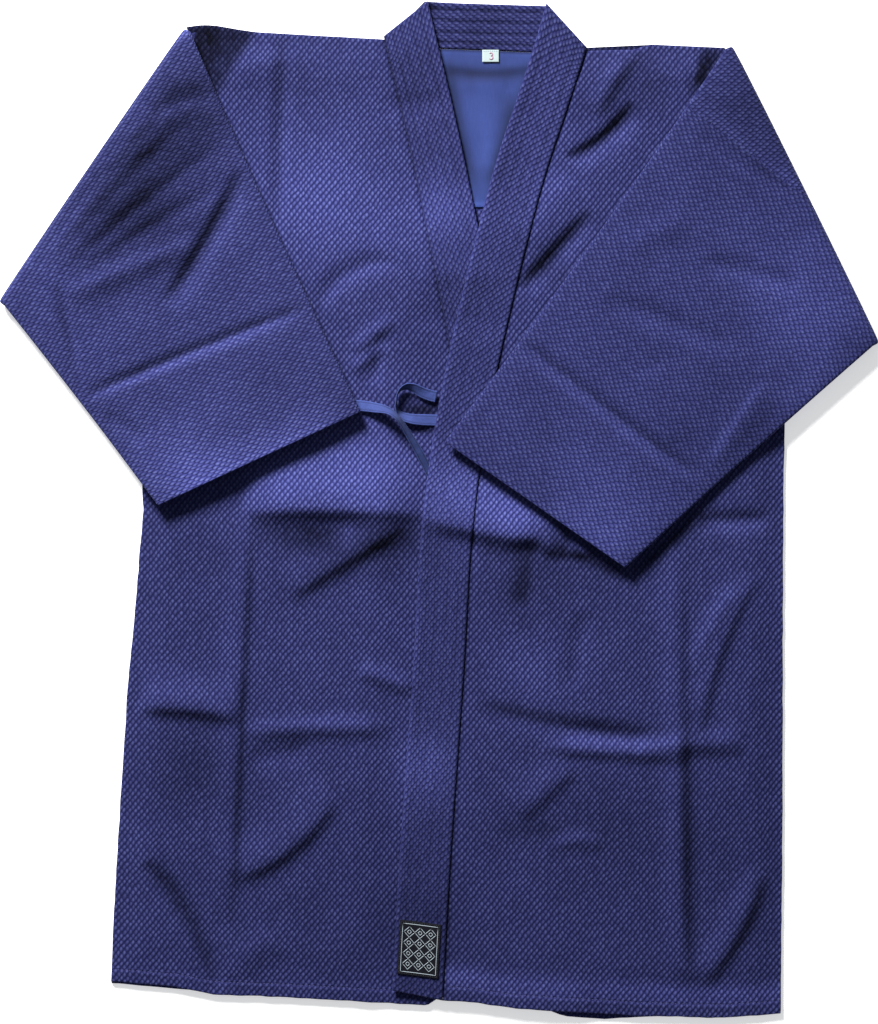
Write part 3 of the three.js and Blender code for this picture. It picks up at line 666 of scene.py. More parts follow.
class Nodes:
    """Short ways to write a material's nodes."""

    def __init__(self, name):
        self.material = bpy.data.materials.new(name)
        self.material.use_nodes = True
        self.tree = self.material.node_tree
        self.tree.nodes.clear()
        output = self.add("ShaderNodeOutputMaterial")
        self.shader = self.add("ShaderNodeBsdfPrincipled")
        self.link(self.shader.outputs[0], output.inputs[0])

    def add(self, kind, **settings):
        node = self.tree.nodes.new(kind)
        for key, value in settings.items():
            setattr(node, key, value)
        return node

    def link(self, source, target):
        self.tree.links.new(source, target)

    def put(self, socket, value):
        if isinstance(value, bpy.types.NodeSocket):
            self.link(value, socket)
        else:
            socket.default_value = value

    def math(self, operation, *values):
        node = self.add("ShaderNodeMath", operation=operation)
        for socket, value in zip(node.inputs, values):
            self.put(socket, value)
        return node.outputs[0]

    def plus(self, base, value, share):
        """base + value * share"""
        return self.math("MULTIPLY_ADD", value, share, base)

    def vector(self, operation, *values, output=0):
        node = self.add("ShaderNodeVectorMath", operation=operation)
        for socket, value in zip(node.inputs, values):
            self.put(socket, value)
        return node.outputs[output]

    def mix(self, share, a, b):
        node = self.add("ShaderNodeMix", data_type="RGBA")
        for place, value in ((0, share), (6, a), (7, b)):
            self.put(node.inputs[place], value)
        return node.outputs[2]

    def ramp(self, value, low, high):
        node = self.add("ShaderNodeMapRange", interpolation_type="SMOOTHSTEP")
        for socket, number in zip(node.inputs, (value, low, high)):
            self.put(socket, number)
        return node.outputs[0]

    def noise(self, where, scale, detail):
        node = self.add("ShaderNodeTexNoise")
        self.link(where, node.inputs["Vector"])
        node.inputs["Scale"].default_value = scale
        node.inputs["Detail"].default_value = detail
        return node.outputs["Fac"]

    def cloth(self):
        """The place on the unrolled cloth, in metres."""
        return self.add("ShaderNodeUVMap", uv_map="cloth").outputs[0]

    def waves(self, where, axis, pitch):
        parts = self.add("ShaderNodeSeparateXYZ")
        self.link(where, parts.inputs[0])
        return self.math("SINE", self.math("MULTIPLY", parts.outputs[axis], 2 * math.pi / pitch))

    def value_of(self, name):
        return self.add("ShaderNodeAttribute", attribute_name=name).outputs["Fac"]

    def lit(self, colour, light):
        node = self.add("ShaderNodeVectorMath", operation="SCALE")
        self.link(colour, node.inputs[0])
        self.link(light, node.inputs["Scale"])
        return node.outputs[0]

    def bump(self, height, distance, strength):
        node = self.add("ShaderNodeBump")
        node.inputs["Strength"].default_value = strength
        node.inputs["Distance"].default_value = distance
        self.link(height, node.inputs["Height"])
        return node.outputs[0]

    def surface(self, colour, roughness, normal=None, sheen=0.0, sheen_tint=(1, 1, 1, 1), specular=0.3):
        self.put(self.shader.inputs["Base Color"], colour)
        values = {"Roughness": roughness, "Sheen Weight": sheen, "Sheen Roughness": SHEEN_ROUGHNESS,
                  "Sheen Tint": sheen_tint, "Specular IOR Level": specular}
        for socket, value in values.items():
            self.shader.inputs[socket].default_value = value
        if normal is not None:
            self.link(normal, self.shader.inputs["Normal"])
        return self.material


# Rice weave: a cell holds two grains. Its lengths are in metres on the cloth.
GRAIN_CELL = (0.0052, 0.0064, 1.0)
GRAIN_HALF = (0.00148, 0.00235)
LONG_CELL = (0.0047, 0.0072, 1.0)
LONG_HALF = (0.00132, 0.00295)
GRAIN_LEAN = math.radians(14)
GRAIN_DRIFT = (0.00050, 0.0006, 0)
# Where the noise is read, its scale and how far it moves the rows, in x and in y
GRAIN_SWAY = (((0, 0, 0), 60.0, 0.0018), ((3.0, 5.0, 0), 45.0, 0.0022))
GRAIN_SETS_APART = 17
GRAIN_ROUND = {"raise": 0.25, "power": 0.6}
GRAIN_YARNS = {"start": 0.15, "turn": 9.0}
# Painted highlight: the crest colour near one tip of each grain
GRAIN_TIP = {"up": 0.30, "reach": 0.62, "share": 0.31, "by_chance": 0.34}
GRAIN_RELIEF = {"yarns": 0.05, "fuzz": 0.22, "chance": 0.30, "depth": 0.00055, "strength": 0.8}
GRAIN_LIGHT = {"wear": 0.14, "clouds": 0.30, "fuzz": 0.42, "chance": 0.12}
GAP_TO_FLANK = (-0.7, 0.55)
CLOUD_SCALE = 22.0
FUZZ_SCALE = 1500.0
WEAVE_SURFACE = {"roughness": 0.86, "sheen": 0.06, "sheen_tint": (0.45, 0.5, 1.0, 1), "specular": 0.04}
# Crest: worn yarn with a painted highlight. Gap: dark yarn deepened with painted shade between the grains.
CREST = (0.074, 0.087, 0.214, 1)
FLANK = (0.0226, 0.0255, 0.0985, 1)
GAP = (0.0122, 0.0138, 0.0630, 1)


def rice_weave(name, lean, cell=GRAIN_CELL, half=GRAIN_HALF):
    """Staggered grains of thick yarn, each worn lighter with a painted highlight near one tip, with dark gaps
    deepened by painted shade.
    """
    n = Nodes(name)
    where = n.cloth()
    sway = n.add("ShaderNodeCombineXYZ")
    for socket, (apart, scale, by) in zip(sway.inputs, GRAIN_SWAY):
        n.link(n.plus(-by, n.noise(n.vector("ADD", where, apart), scale, 3.0), 2 * by), socket)
    place = n.vector("DIVIDE", n.vector("ADD", where, sway.outputs[0]), cell)
    cos, sin = math.cos(GRAIN_LEAN * lean), math.sin(GRAIN_LEAN * lean)
    wide = (cos / half[0], sin / half[0], 0)
    high = (-sin / half[1], cos / half[1], 0)
    grains = []
    for shift in (0.5, 0.0):
        moved = n.vector("ADD", place, (shift, shift, 0))
        own = n.vector("ADD", n.vector("FLOOR", moved), (GRAIN_SETS_APART * shift, 0, 0))
        stray = n.add("ShaderNodeTexWhiteNoise", noise_dimensions="3D")
        n.link(own, stray.inputs["Vector"])
        to_a_side = n.vector("SUBTRACT", stray.outputs["Color"], (0.5, 0.5, 0.5))
        drift = n.vector("MULTIPLY", to_a_side, GRAIN_DRIFT)
        from_middle = n.vector("SUBTRACT", n.vector("FRACTION", moved), (0.5, 0.5, 0))
        metres = n.vector("ADD", n.vector("MULTIPLY", from_middle, cell), drift)
        across = n.vector("DOT_PRODUCT", metres, wide, output=1)
        along = n.vector("DOT_PRODUCT", metres, high, output=1)
        above = n.math("SUBTRACT", along, GRAIN_TIP["up"])
        middle, tip = (n.plus(n.math("MULTIPLY", b, b), across, across) for b in (along, above))
        grains.append((n.math("SUBTRACT", 1.0, middle), stray.outputs["Value"], across, tip))
    first, second = grains
    height = n.math("MAXIMUM", first[0], second[0])
    is_first = n.math("GREATER_THAN", first[0], second[0])
    chance, across, from_tip = (n.plus(second[k], is_first, n.math("SUBTRACT", first[k], second[k]))
                                for k in (1, 2, 3))
    raised = n.math("MAXIMUM", n.math("ADD", height, GRAIN_ROUND["raise"]), 0.0)
    relief = n.math("POWER", raised, GRAIN_ROUND["power"])
    from_start = n.math("ADD", across, GRAIN_YARNS["start"])
    yarns = n.math("SINE", n.math("MULTIPLY", from_start, GRAIN_YARNS["turn"]))
    fuzz = n.noise(where, FUZZ_SCALE, 3.0)
    for key, value in (("yarns", yarns), ("fuzz", fuzz), ("chance", chance)):
        relief = n.plus(relief, value, GRAIN_RELIEF[key])
    colour = n.mix(n.ramp(height, *GAP_TO_FLANK), GAP, FLANK)
    # Painted highlight near each grain's tip
    crest_and_highlight_share = n.math("MULTIPLY", n.ramp(from_tip, GRAIN_TIP["reach"], 0.0),
                         n.plus(GRAIN_TIP["share"], chance, GRAIN_TIP["by_chance"]))
    colour = n.mix(crest_and_highlight_share, colour, CREST)
    # Painted light and shade, random tone and worn edges scale the colour
    light = n.plus(n.math("ADD", 1.0, n.value_of("painted_light_and_tone")), n.value_of("wear"), GRAIN_LIGHT["wear"])
    for key, value in (("clouds", n.noise(where, CLOUD_SCALE, 4.0)), ("fuzz", fuzz), ("chance", chance)):
        light = n.plus(light, n.math("SUBTRACT", value, 0.5), GRAIN_LIGHT[key])
    normal = n.bump(relief, GRAIN_RELIEF["depth"], GRAIN_RELIEF["strength"])
    return n.surface(n.lit(colour, light), normal=normal, **WEAVE_SURFACE)


COTTON = {"pitch": 0.00042, "slub_stretch": (1.0, 0.12, 1.0), "slub_scale": 900.0, "slubs": 0.5,
          "cloud_scale": 28.0, "clouds": 0.6, "dark_to_light": (0.25, 0.85), "wear": 0.25,
          "woven": 0.25, "depth": 0.0003, "strength": 0.5}
COTTON_SURFACE = {"roughness": 0.8, "sheen": 0.12, "sheen_tint": (0.6, 0.7, 1, 1), "specular": 0.15}


def plain_cotton(name, colour, dark):
    """Smooth plain weave of fine thread."""
    n = Nodes(name)
    where = n.cloth()
    woven = n.math("MULTIPLY", n.waves(where, 0, COTTON["pitch"]), n.waves(where, 1, COTTON["pitch"]))
    slub = n.noise(n.vector("MULTIPLY", where, COTTON["slub_stretch"]), COTTON["slub_scale"], 3.0)
    clouds = n.noise(where, COTTON["cloud_scale"], 4.0)
    share = n.plus(n.math("MULTIPLY", clouds, COTTON["clouds"]), slub, COTTON["slubs"])
    mixed = n.mix(n.ramp(share, *COTTON["dark_to_light"]), dark, colour)
    # Painted light and shade, random tone and worn edges scale the colour
    light = n.plus(n.math("ADD", 1.0, n.value_of("painted_light_and_tone")), n.value_of("wear"), COTTON["wear"])
    normal = n.bump(n.plus(slub, woven, COTTON["woven"]), COTTON["depth"], COTTON["strength"])
    return n.surface(n.lit(mixed, light), normal=normal, **COTTON_SURFACE)


SATIN = {"pitch": 0.0005, "speck_scale": 1500.0, "specks": (0.35, 0.75), "ribs": 0.3, "depth": 0.00025,
         "strength": 0.5, "roughness": 0.62}


def satin(name, colour, fleck, specular=0.3, sheen=0.1):
    """Shiny woven tape of a tag or patch."""
    n = Nodes(name)
    where = n.cloth()
    speck = n.noise(where, SATIN["speck_scale"], 2.0)
    mixed = n.mix(n.ramp(speck, *SATIN["specks"]), colour, fleck)
    relief = n.plus(speck, n.waves(where, 1, SATIN["pitch"]), SATIN["ribs"])
    normal = n.bump(relief, SATIN["depth"], SATIN["strength"])
    return n.surface(mixed, SATIN["roughness"], normal, sheen=sheen, specular=specular)


TWIST = {"scale": 3000.0, "dark": 0.6, "dark_to_light": (0.3, 0.7), "depth": 0.0002, "strength": 0.5,
         "roughness": 0.7, "sheen": 0.15}


def thread_material(name, colour):
    n = Nodes(name)
    twist = n.noise(n.add("ShaderNodeTexCoord").outputs["Object"], TWIST["scale"], 2.0)
    dark = (*(TWIST["dark"] * c for c in colour[:3]), 1)
    mixed = n.mix(n.ramp(twist, *TWIST["dark_to_light"]), dark, colour)
    normal = n.bump(twist, TWIST["depth"], TWIST["strength"])
    return n.surface(mixed, TWIST["roughness"], normal, sheen=TWIST["sheen"])


WEAVE = rice_weave("indigo rice weave", -1)
RIGHT_SLEEVE_WEAVE = rice_weave("indigo rice weave on the right sleeve", 0.2, LONG_CELL, LONG_HALF)
LEFT_SLEEVE_WEAVE = rice_weave("indigo rice weave on the left sleeve", 0.7)
BAND_WEAVE = rice_weave("indigo rice weave on the band", 1)
LINING = plain_cotton("blue lining cotton", (0.032, 0.053, 0.200, 1), (0.023, 0.039, 0.158, 1))
TAPE = plain_cotton("blue cotton tape", (0.050, 0.074, 0.250, 1), (0.034, 0.053, 0.195, 1))
TAG = satin("white woven tag", (0.345, 0.425, 0.43, 1), (0.32, 0.40, 0.41, 1))
PATCH = satin("black woven patch", (0.0035, 0.004, 0.008, 1), (0.007, 0.008, 0.014, 1), 0.12, 0.0)
THREAD = thread_material("indigo sewing thread", (0.06, 0.065, 0.22, 1))


# The camera looks straight down on the jacket
VIEW_HEIGHT = 921.6 * MM
VIEW_CENTRE = (0.0, -1.8 * MM)
CAMERA_HEIGHT = 2.3
VIEW_PLANE = 8 * MM
SENSOR = 36
camera_data = bpy.data.cameras.new("camera")
camera_data.sensor_width = SENSOR
camera_data.lens = SENSOR * (CAMERA_HEIGHT - VIEW_PLANE) / VIEW_HEIGHT
camera = bpy.data.objects.new("camera", camera_data)
camera.location = (*VIEW_CENTRE, CAMERA_HEIGHT)
bpy.context.scene.collection.objects.link(camera)
bpy.context.scene.camera = camera


# Ties: flat tapes on their middle lines, with a woven groove beside each edge
TAPE_GRID = {"along": 220, "across": 10}
TAPE_FULLNESS = 0.85
TAPE_GROOVE = {"from_edge": 1.4, "depth": 0.22, "reach": 0.5, "end": 1.0, "dark": 0.42,
               "dark_reach": 0.55}
TAPE_PUCKER = {"height": 0.16, "size": 5, "seed": 21, "end": 2.0, "tone": 0.5}
TAPE_WORN_EDGE = 1.5
NARROW_PAINTED_SHADE = 1.6


def make_tie(name, rows):
    raised = rows["z"] + crease_height(BODY_CREASES, rows["x"], rows["y"])
    line = Line(spline(np.stack([rows["x"], rows["y"], raised], -1), CURVE_STEPS["tie"]))
    s = places(line.length, TAPE_CLOTH / 2, line.length / TAPE_GRID["along"])

    def read(key):
        points, own = (np.linspace(0, 1, len(values)) for values in (line.points, rows[key]))
        return np.interp(s * line.length, line.place, np.interp(points, own, rows[key]))[:, None]

    roll = np.radians(read("roll"))
    narrow = read("width") / TIE_WIDTH
    along = line.along(s)
    level = np.stack([-along[:, 1], along[:, 0], np.zeros(len(s))], -1)
    level /= np.linalg.norm(level, axis=1)[:, None]
    side = level * np.cos(roll) - np.cross(along, level) * np.sin(roll)
    normal = np.cross(along, side)[:, None, :]
    w = places(TIE_WIDTH, TAPE_CLOTH / 2, TIE_WIDTH / TAPE_GRID["across"])
    S, W = np.meshgrid(s, w, indexing="ij")
    from_edge = np.minimum(W, 1 - W) * TIE_WIDTH
    distance = np.minimum(from_edge, np.minimum(S, 1 - S) * line.length)
    from_groove = from_edge - TAPE_GROOVE["from_edge"]
    half = TAPE_CLOTH / 2 * rounded(distance, TAPE_CLOTH / 2) * TAPE_FULLNESS
    groove = TAPE_GROOVE["depth"] * hill(from_groove, TAPE_GROOVE["reach"])
    half = half - groove * rounded(distance, TAPE_GROOVE["end"])
    pucker = TAPE_PUCKER["height"] * ripple(S * line.length, W * TIE_WIDTH, TAPE_PUCKER["size"],
                                            TAPE_PUCKER["seed"])
    centre = line.at(s)[:, None, :] + side[:, None, :] * ((W - 0.5) * TIE_WIDTH * narrow)[..., None]
    centre = centre + normal * (pucker * rounded(distance, TAPE_PUCKER["end"]))[..., None]
    offset = normal * half[..., None]
    points, faces, uv_faces, border = two_sides(centre + offset, centre - offset)
    uv = np.stack([W * TIE_WIDTH, S * line.length], -1).reshape(-1, 2)
    # Painted shade where the tape turns on edge and in its grooves, and painted light on its raised puckers
    painted_light_and_tone = (NARROW_PAINTED_SHADE * (narrow - 1) - TAPE_GROOVE["dark"] * hill(from_groove, TAPE_GROOVE["dark_reach"])
           + TAPE_PUCKER["tone"] * pucker)
    worn = 1 - smooth(from_edge, 0, TAPE_WORN_EDGE)
    shades = {"wear": on_both(worn, border), "painted_light_and_tone": on_both(painted_light_and_tone, border)}
    piece = add_mesh(name, points, faces, uv, uv_faces, TAPE, [name], shades)


make_tie("tie_right", RIGHT_TIE)
make_tie("tie_left", LEFT_TIE)


# Body panels
GRID = 3.4
RIGHT_SIZE = (330, 872)
LEFT_SIZE = (270, 876)
BACK_SIZE = (600, 870)
HEM_ROWS = (2.5, 4, 6, 8, 9, 10, 10.8, 11.4, 12, 12.6, 13.2, 14, 15, 17)
HEM_STITCH = 11.6
HEM_FORM = {"thick": 0.7, "fade": 2.5, "pull": 0.75, "pull_reach": 1.0}
HEM_LIGHT = {"share": 0.72, "uneven": 0.22, "size": 26, "seed": 71, "from_hem": 20, "reach": 8.5}
SEAM = {"dark": 0.55, "dark_reach": 2.3, "dip": 0.9, "dip_reach": 3.0}
TOP_PAINTED_SHADE = {"share": 0.8, "reach": 4}
# How much painted hem light each front gets
HEM_LIGHT_SHARE = {"right": 0.1, "left": 1}
# The higher this power, the closer to its edge the outline's own shape fades
OUTLINE_FADE = 4
EDGE_WAVE = {"height": 0.4, "size": 9, "hem_seed": 61, "side_seed": 62, "hem_reach": 0.02,
             "side_reach": 0.03}
# The right shoulder's corner reaches out past the sleeve's turned edge
SHOULDER_CORNER = {"pull": 8.6, "drop": 2.4, "low": 427, "high": 436.4, "inner": 206, "outer": 219}


def on_the_floor(x, y):
    return 0 * x


def plan_between(left_edge, right_edge, top_line, hem_line, band_u):
    ends = np.array([0, 1])
    left_y, right_y = left_edge(ends)[:, 1], right_edge(ends)[:, 1]

    def edge_wave(x, y, away, edge):
        wave = ripple(x, y, EDGE_WAVE["size"], EDGE_WAVE[edge + "_seed"])
        return EDGE_WAVE["height"] * wave * hill(away, EDGE_WAVE[edge + "_reach"])

    def plan(u, v):
        left = left_edge(v)
        right = right_edge(v)
        point = lerp(left, right, u[..., None])
        x = point[..., 0]
        y = point[..., 1]
        band_edge = left if band_u == 0 else right
        free = 1.0 if band_u is None else smooth(np.abs(x - band_edge[..., 0]), 0, BAND_WIDTH)
        top = read_table(top_line, "x", x, "y") - lerp(left_y[0], right_y[0], u)
        hem = read_table(hem_line, "x", x, "y") - lerp(left_y[1], right_y[1], u)
        side_u = np.minimum(u, 1 - u) if band_u is None else np.abs(u - (1 - band_u))
        side_wave = edge_wave(x, y, side_u, "side")
        shift = top * (1 - v) ** OUTLINE_FADE + hem * v ** OUTLINE_FADE
        y = y + free * shift + edge_wave(x, y, 1 - v, "hem")
        corner = (smooth(y, SHOULDER_CORNER["low"], SHOULDER_CORNER["high"])
                  * smooth(-x, SHOULDER_CORNER["inner"], SHOULDER_CORNER["outer"]))
        return x + side_wave - SHOULDER_CORNER["pull"] * corner, y - SHOULDER_CORNER["drop"] * corner ** 2
    return plan


def side_edge(rows):
    def edge(v):
        y = lerp(rows["y"][0], rows["y"][-1], v)
        return np.stack([read_table(rows, "y", y, "x"), y], -1)
    return edge


def band_edge(band, start, across):
    return lambda v: band.point_at(lerp(start, 1, v), np.full(np.shape(v), across))


def seam_painted_shade(from_seam):
    """Painted shade along a sewn seam, which lies in a soft groove."""
    return -SEAM["dark"] * hill(from_seam, SEAM["dark_reach"])


def hem_form(from_hem):
    """Three layers at the turned hem, pulled down at its stitches."""
    thick = HEM_FORM["thick"] * (1 - smooth(from_hem, HEM_STITCH, HEM_STITCH + HEM_FORM["fade"]))
    return thick - HEM_FORM["pull"] * hill(from_hem - HEM_STITCH, HEM_FORM["pull_reach"])


def painted_hem_light(from_hem, x):
    """Painted light on the cloth above the turned hem, which stands up to the light."""
    uneven = HEM_LIGHT["uneven"] * ripple(x, from_hem, HEM_LIGHT["size"], HEM_LIGHT["seed"])
    return (HEM_LIGHT["share"] + uneven) * hill(from_hem - HEM_LIGHT["from_hem"], HEM_LIGHT["reach"])


def make_front(name, plan, size, floor, band_side, hem_light_share):
    width, length = size

    def form(u, v, x, y):
        return hem_form((1 - v) * length) - SEAM["dip"] * hill((u - band_side) * width, SEAM["dip_reach"])

    # Painted shade at the seam and beside the right sleeve, and painted light above the hem
    def shade(u, v, x, y):
        return (seam_painted_shade((u - band_side) * width) + hem_light_share * painted_hem_light((1 - v) * length, x)
                + painted_pocket_shadow(x, y))

    u = places(width, CLOTH / 2, GRID)
    v = places(length, CLOTH / 2, GRID, HEM_ROWS)
    return lay_cloth(name, u, v, size, CLOTH, plan, floor, WEAVE, extra=form,
                     creases=BODY_CREASES, shade=shade)


# Painted shade along the back's top edge
def back_painted_shade(u, v, x, y):
    return -TOP_PAINTED_SHADE["share"] * (1 - smooth(v * BACK_SIZE[1], 0, TOP_PAINTED_SHADE["reach"]))


right_plan = plan_between(side_edge(RIGHT_SIDE),
                          band_edge(right_band, BAND_SEAM["right_start"], -BAND_SEAM["across"]),
                          RIGHT_FRONT_TOP, RIGHT_HEM, 1)
left_plan = plan_between(band_edge(left_band, BAND_SEAM["left_start"], BAND_SEAM["across"]),
                         side_edge(LEFT_SIDE), LEFT_FRONT_TOP, LEFT_HEM, 0)
back_plan = plan_between(side_edge(RIGHT_SIDE), side_edge(LEFT_SIDE), BACK_TOP, BACK_HEM, None)
front_right = make_front("front_right", right_plan, RIGHT_SIZE, right_front_floor, 1, HEM_LIGHT_SHARE["right"])
front_left = make_front("front_left", left_plan, LEFT_SIZE, left_front_floor, 0, HEM_LIGHT_SHARE["left"])
back_u, back_v = (places(side, CLOTH / 2, 2 * GRID) for side in BACK_SIZE)
back = lay_cloth("back", back_u, back_v, BACK_SIZE, CLOTH, back_plan, on_the_floor, WEAVE,
                 shade=back_painted_shade)


# Collar bands, with lines of sewing that are fainter away from the neck
BAND_GRID = {"across": 2.6, "along": 3.2}
SCALLOP = {"size": 0.32, "start": 0.85}
BAND_LINES = {"places": (-0.62, -0.22, 0.2, 0.6), "full_until": 60, "faint": 0.5}
BAND_GROOVE = {"share": 0.75, "reach": 1.6, "faint_from": 260}
# Painted shade in the grooves of the sewn lines
BAND_LINE_PAINTED_SHADE = {"share": 0.26, "reach": 1.5, "faint_from": 330}
BAND_EDGE = {"place": 3.2, "depth": 0.25, "reach": 1.1}


def band_level(band, level):
    def floor_at(s, across):
        point = band.point_at(s, across)
        x, y = point[..., 0], point[..., 1]
        drop = 1 - smooth(s * band.length, 0, BAND_END_DROP["reach"])
        return lerp(level(x, y, across), BAND_END_DROP["resting_on"], drop)
    return floor_at


def right_band_level(x, y, across):
    return below_sleeves(FRONT_SEAM_Z + right_level(x, y), BAND_CLOTH, x, y)


def left_band_level(x, y, across):
    lift = FREE_EDGE_LIFT * smooth(-across, 0, 1)
    return below_sleeves(FRONT_SEAM_Z + left_level(x, y) + lift, BAND_CLOTH, x, y)


def band_lines(across, from_neck, form):
    lines = sum(hill((across - place) * BAND_WIDTH / 2, form["reach"]) for place in BAND_LINES["places"])
    faint = BAND_LINES["faint"] * smooth(from_neck, BAND_LINES["full_until"], form["faint_from"])
    return form["share"] * lines * (1 - faint)


def make_band(name, band, level, outer_side):
    u = places(BAND_WIDTH, BAND_CLOTH / 2, BAND_GRID["across"])
    v = places(band.length, BAND_CLOTH / 2, BAND_GRID["along"])
    height = band_level(band, level)
    U, V = np.meshgrid(u, v)
    row = np.broadcast_to(np.arange(len(v))[:, None] % 2, U.shape)

    def plan(u, v):
        across = 2 * u - 1
        zigzag = SCALLOP["size"] * (row - 0.5) / (BAND_WIDTH / 2)
        zigzag = zigzag * smooth(np.abs(across), SCALLOP["start"], 1)
        point = band.point_at(v, across + zigzag * np.sign(across))
        return point[..., 0], point[..., 1]

    def floor(x, y):
        return height(V, 2 * U - 1)

    def grooves(u, v, x, y):
        across = 2 * u - 1
        from_line = (1 - np.abs(across)) * BAND_WIDTH / 2 - BAND_EDGE["place"]
        return (-band_lines(across, v * band.length, BAND_GROOVE)
                - BAND_EDGE["depth"] * hill(from_line, BAND_EDGE["reach"]))

    def shade(u, v, x, y):
        across = 2 * u - 1
        return (seam_painted_shade((1 - across * outer_side) * BAND_WIDTH / 2)
                - band_lines(across, v * band.length, BAND_LINE_PAINTED_SHADE))

    def uv(u, v, x, y):
        return (2 * u - 1) * BAND_WIDTH / 2, v * band.length

    lay_cloth(name, u, v, (BAND_WIDTH, band.length), BAND_CLOTH, plan, floor, BAND_WEAVE,
              uv=uv, extra=grooves, creases=BODY_CREASES, shade=shade)


make_band("collar_right", right_band, right_band_level, -1)
make_band("collar_left", left_band, left_band_level, 1)

NECK_SIZE = (150, 42)
NECK_GRID = (2.4, 1.3)
NECK_LINES = {"places": (0.14, 0.36, 0.6, 0.84), "depth": 0.8, "reach": 1.3, "dark": 0.34,
              "dark_reach": 1.6}
NECK_RIPPLES = ((0.5, 14, 31),)
NECK_CORNER = {"x": -14, "y": 455, "reach_x": 12, "reach_y": 7, "dark": 0.8}
NECK_SEAM = {"dark": 0.7, "reach": 1.4}


def neck_plan(u, v):
    place = np.linspace(0, 1, len(NECK_BAND["foot_x"]))
    foot_x, foot_y, top_x, top_y = (np.interp(u, place, column) for column in NECK_BAND.values())
    return lerp(foot_x, top_x, v), lerp(foot_y, top_y, v)


def neck_lines(v, reach):
    return sum(hill((v - place) * NECK_SIZE[1], reach) for place in NECK_LINES["places"])


def neck_grooves(u, v, x, y):
    return ripples(x, y, NECK_RIPPLES) - NECK_LINES["depth"] * neck_lines(v, NECK_LINES["reach"])


# Painted shade in the sewn lines' grooves, in the collar's corner and at its seam
def neck_painted_shade(u, v, x, y):
    corner = (hill(x - NECK_CORNER["x"], NECK_CORNER["reach_x"])
              * hill(y - NECK_CORNER["y"], NECK_CORNER["reach_y"]))
    at_seam = hill(v * NECK_SIZE[1], NECK_SEAM["reach"])
    return (-NECK_LINES["dark"] * neck_lines(v, NECK_LINES["dark_reach"]) - NECK_CORNER["dark"] * corner
            - NECK_SEAM["dark"] * at_seam)


neck_u, neck_v = (places(side, BAND_CLOTH / 2, spacing) for side, spacing in zip(NECK_SIZE, NECK_GRID))
lay_cloth("collar_back", neck_u, neck_v, NECK_SIZE, BAND_CLOTH, neck_plan, on_the_floor, BAND_WEAVE,
          uv=lambda u, v, x, y: (y, x), extra=neck_grooves, shade=neck_painted_shade)

# Shoulder lining
LINING_SIZE = (95, 138)
LINING_GRID = 2.2
LINING_ROWS = (2, 3, 4, 5)
LINING_HEM = {"place": 4, "slope": 1, "thick": 0.35}
LINING_FOOT_GAP = 0.25
LINING_FADE = 6
# Painted shade along the lining's top seam
LINING_SEAM = {"dark": 0.8, "reach": 1.3}
# Ridges and dips in the lining, along x or y, and its swell between the bands
LINING_DIPS = (("y", 394, 6, -0.6), ("x", 58, 5, -0.3))
LINING_SWELL = {"y": 384, "reach": 9, "height": 0.8, "start": 0.25, "full": 0.4}
LINING_RIPPLES = ((0.35, 18, 41),)
# Painted shade and light along lines over the lining's folds
LINING_PAINTED_LINES = table(
    CREASE,
    (4, 399, 90, 400, -6, 5, 8, -0.56),
    (5, 408, 33, 274, 0, 7, 7, -0.60),
    (88, 408, 46, 274, 0, 7, 7, -0.58),
    (64, 378, 48, 292, 3, 6, 8, -0.44),
    (44, 312, 38, 274, 0, 14, 14, -0.20),
    (30, 385, 60, 386, -3, 10, 10, 0.14),
    (40, 368, 44, 300, 0, 5, 5, 0.10))


def lining_plan(u, v):
    y = lerp(LINING_EDGE["top"], LINING_EDGE["y"], v)
    x = lerp(right_band_x(y), left_band_x(y), u)
    foot = np.interp(x, NECK_BAND["foot_x"], NECK_BAND["foot_y"]) - LINING_FOOT_GAP
    return x, y + (foot - LINING_EDGE["top"]) * (1 - v) ** LINING_FADE


def lining_painted_shade(u, v, x, y):
    at_seam = LINING_SEAM["dark"] * hill(v * LINING_SIZE[1], LINING_SEAM["reach"])
    return crease_height(LINING_PAINTED_LINES, x, y) - at_seam


def lining_form(u, v, x, y):
    dips = sum(height * hill({"x": x, "y": y}[axis] - place, reach)
               for axis, place, reach, height in LINING_DIPS)
    swell = (LINING_SWELL["height"] * hill(y - LINING_SWELL["y"], LINING_SWELL["reach"])
             + ripples(x, y, LINING_RIPPLES))
    between = (smooth(u, LINING_SWELL["start"], LINING_SWELL["full"])
               * smooth(1 - u, LINING_SWELL["start"], LINING_SWELL["full"]))
    past_hem = (1 - v) * LINING_SIZE[1] - LINING_HEM["place"]
    hem = LINING_HEM["thick"] * (1 - smooth(past_hem, -LINING_HEM["slope"], LINING_HEM["slope"]))
    return dips + swell * between + hem


yoke_lining = lay_cloth("yoke_lining", places(LINING_SIZE[0], LINING_CLOTH / 2, LINING_GRID),
                        places(LINING_SIZE[1], LINING_CLOTH / 2, LINING_GRID, LINING_ROWS), LINING_SIZE,
                        LINING_CLOTH, lining_plan, lambda x, y: 0 * x + FRONT_SEAM_Z, LINING,
                        extra=lining_form, shade=lining_painted_shade)


# Sleeves: a flat tube that turns over at its fold
RIM_STEPS = 8
TURN_STEPS = 16
SLEEVE_GRID = {"across": 92, "under": 6.0, "over": 3.3}
FAR_FROM_END = 99
WORN_ROWS = (2, 6)
# Beyond this line the body's own cloth turns over with the left sleeve
LEFT_ARMHOLE_SEAM = ((228.6, 359.1), (327.6, 283.5))
SEAM_MARGIN = 12


def unit(vector):
    return vector / np.linalg.norm(vector)


def square_to(direction, towards):
    """Level and square to one direction, on the side of another."""
    side = np.array([-direction[1], direction[0], 0])
    return side * np.sign(np.dot(side, towards))


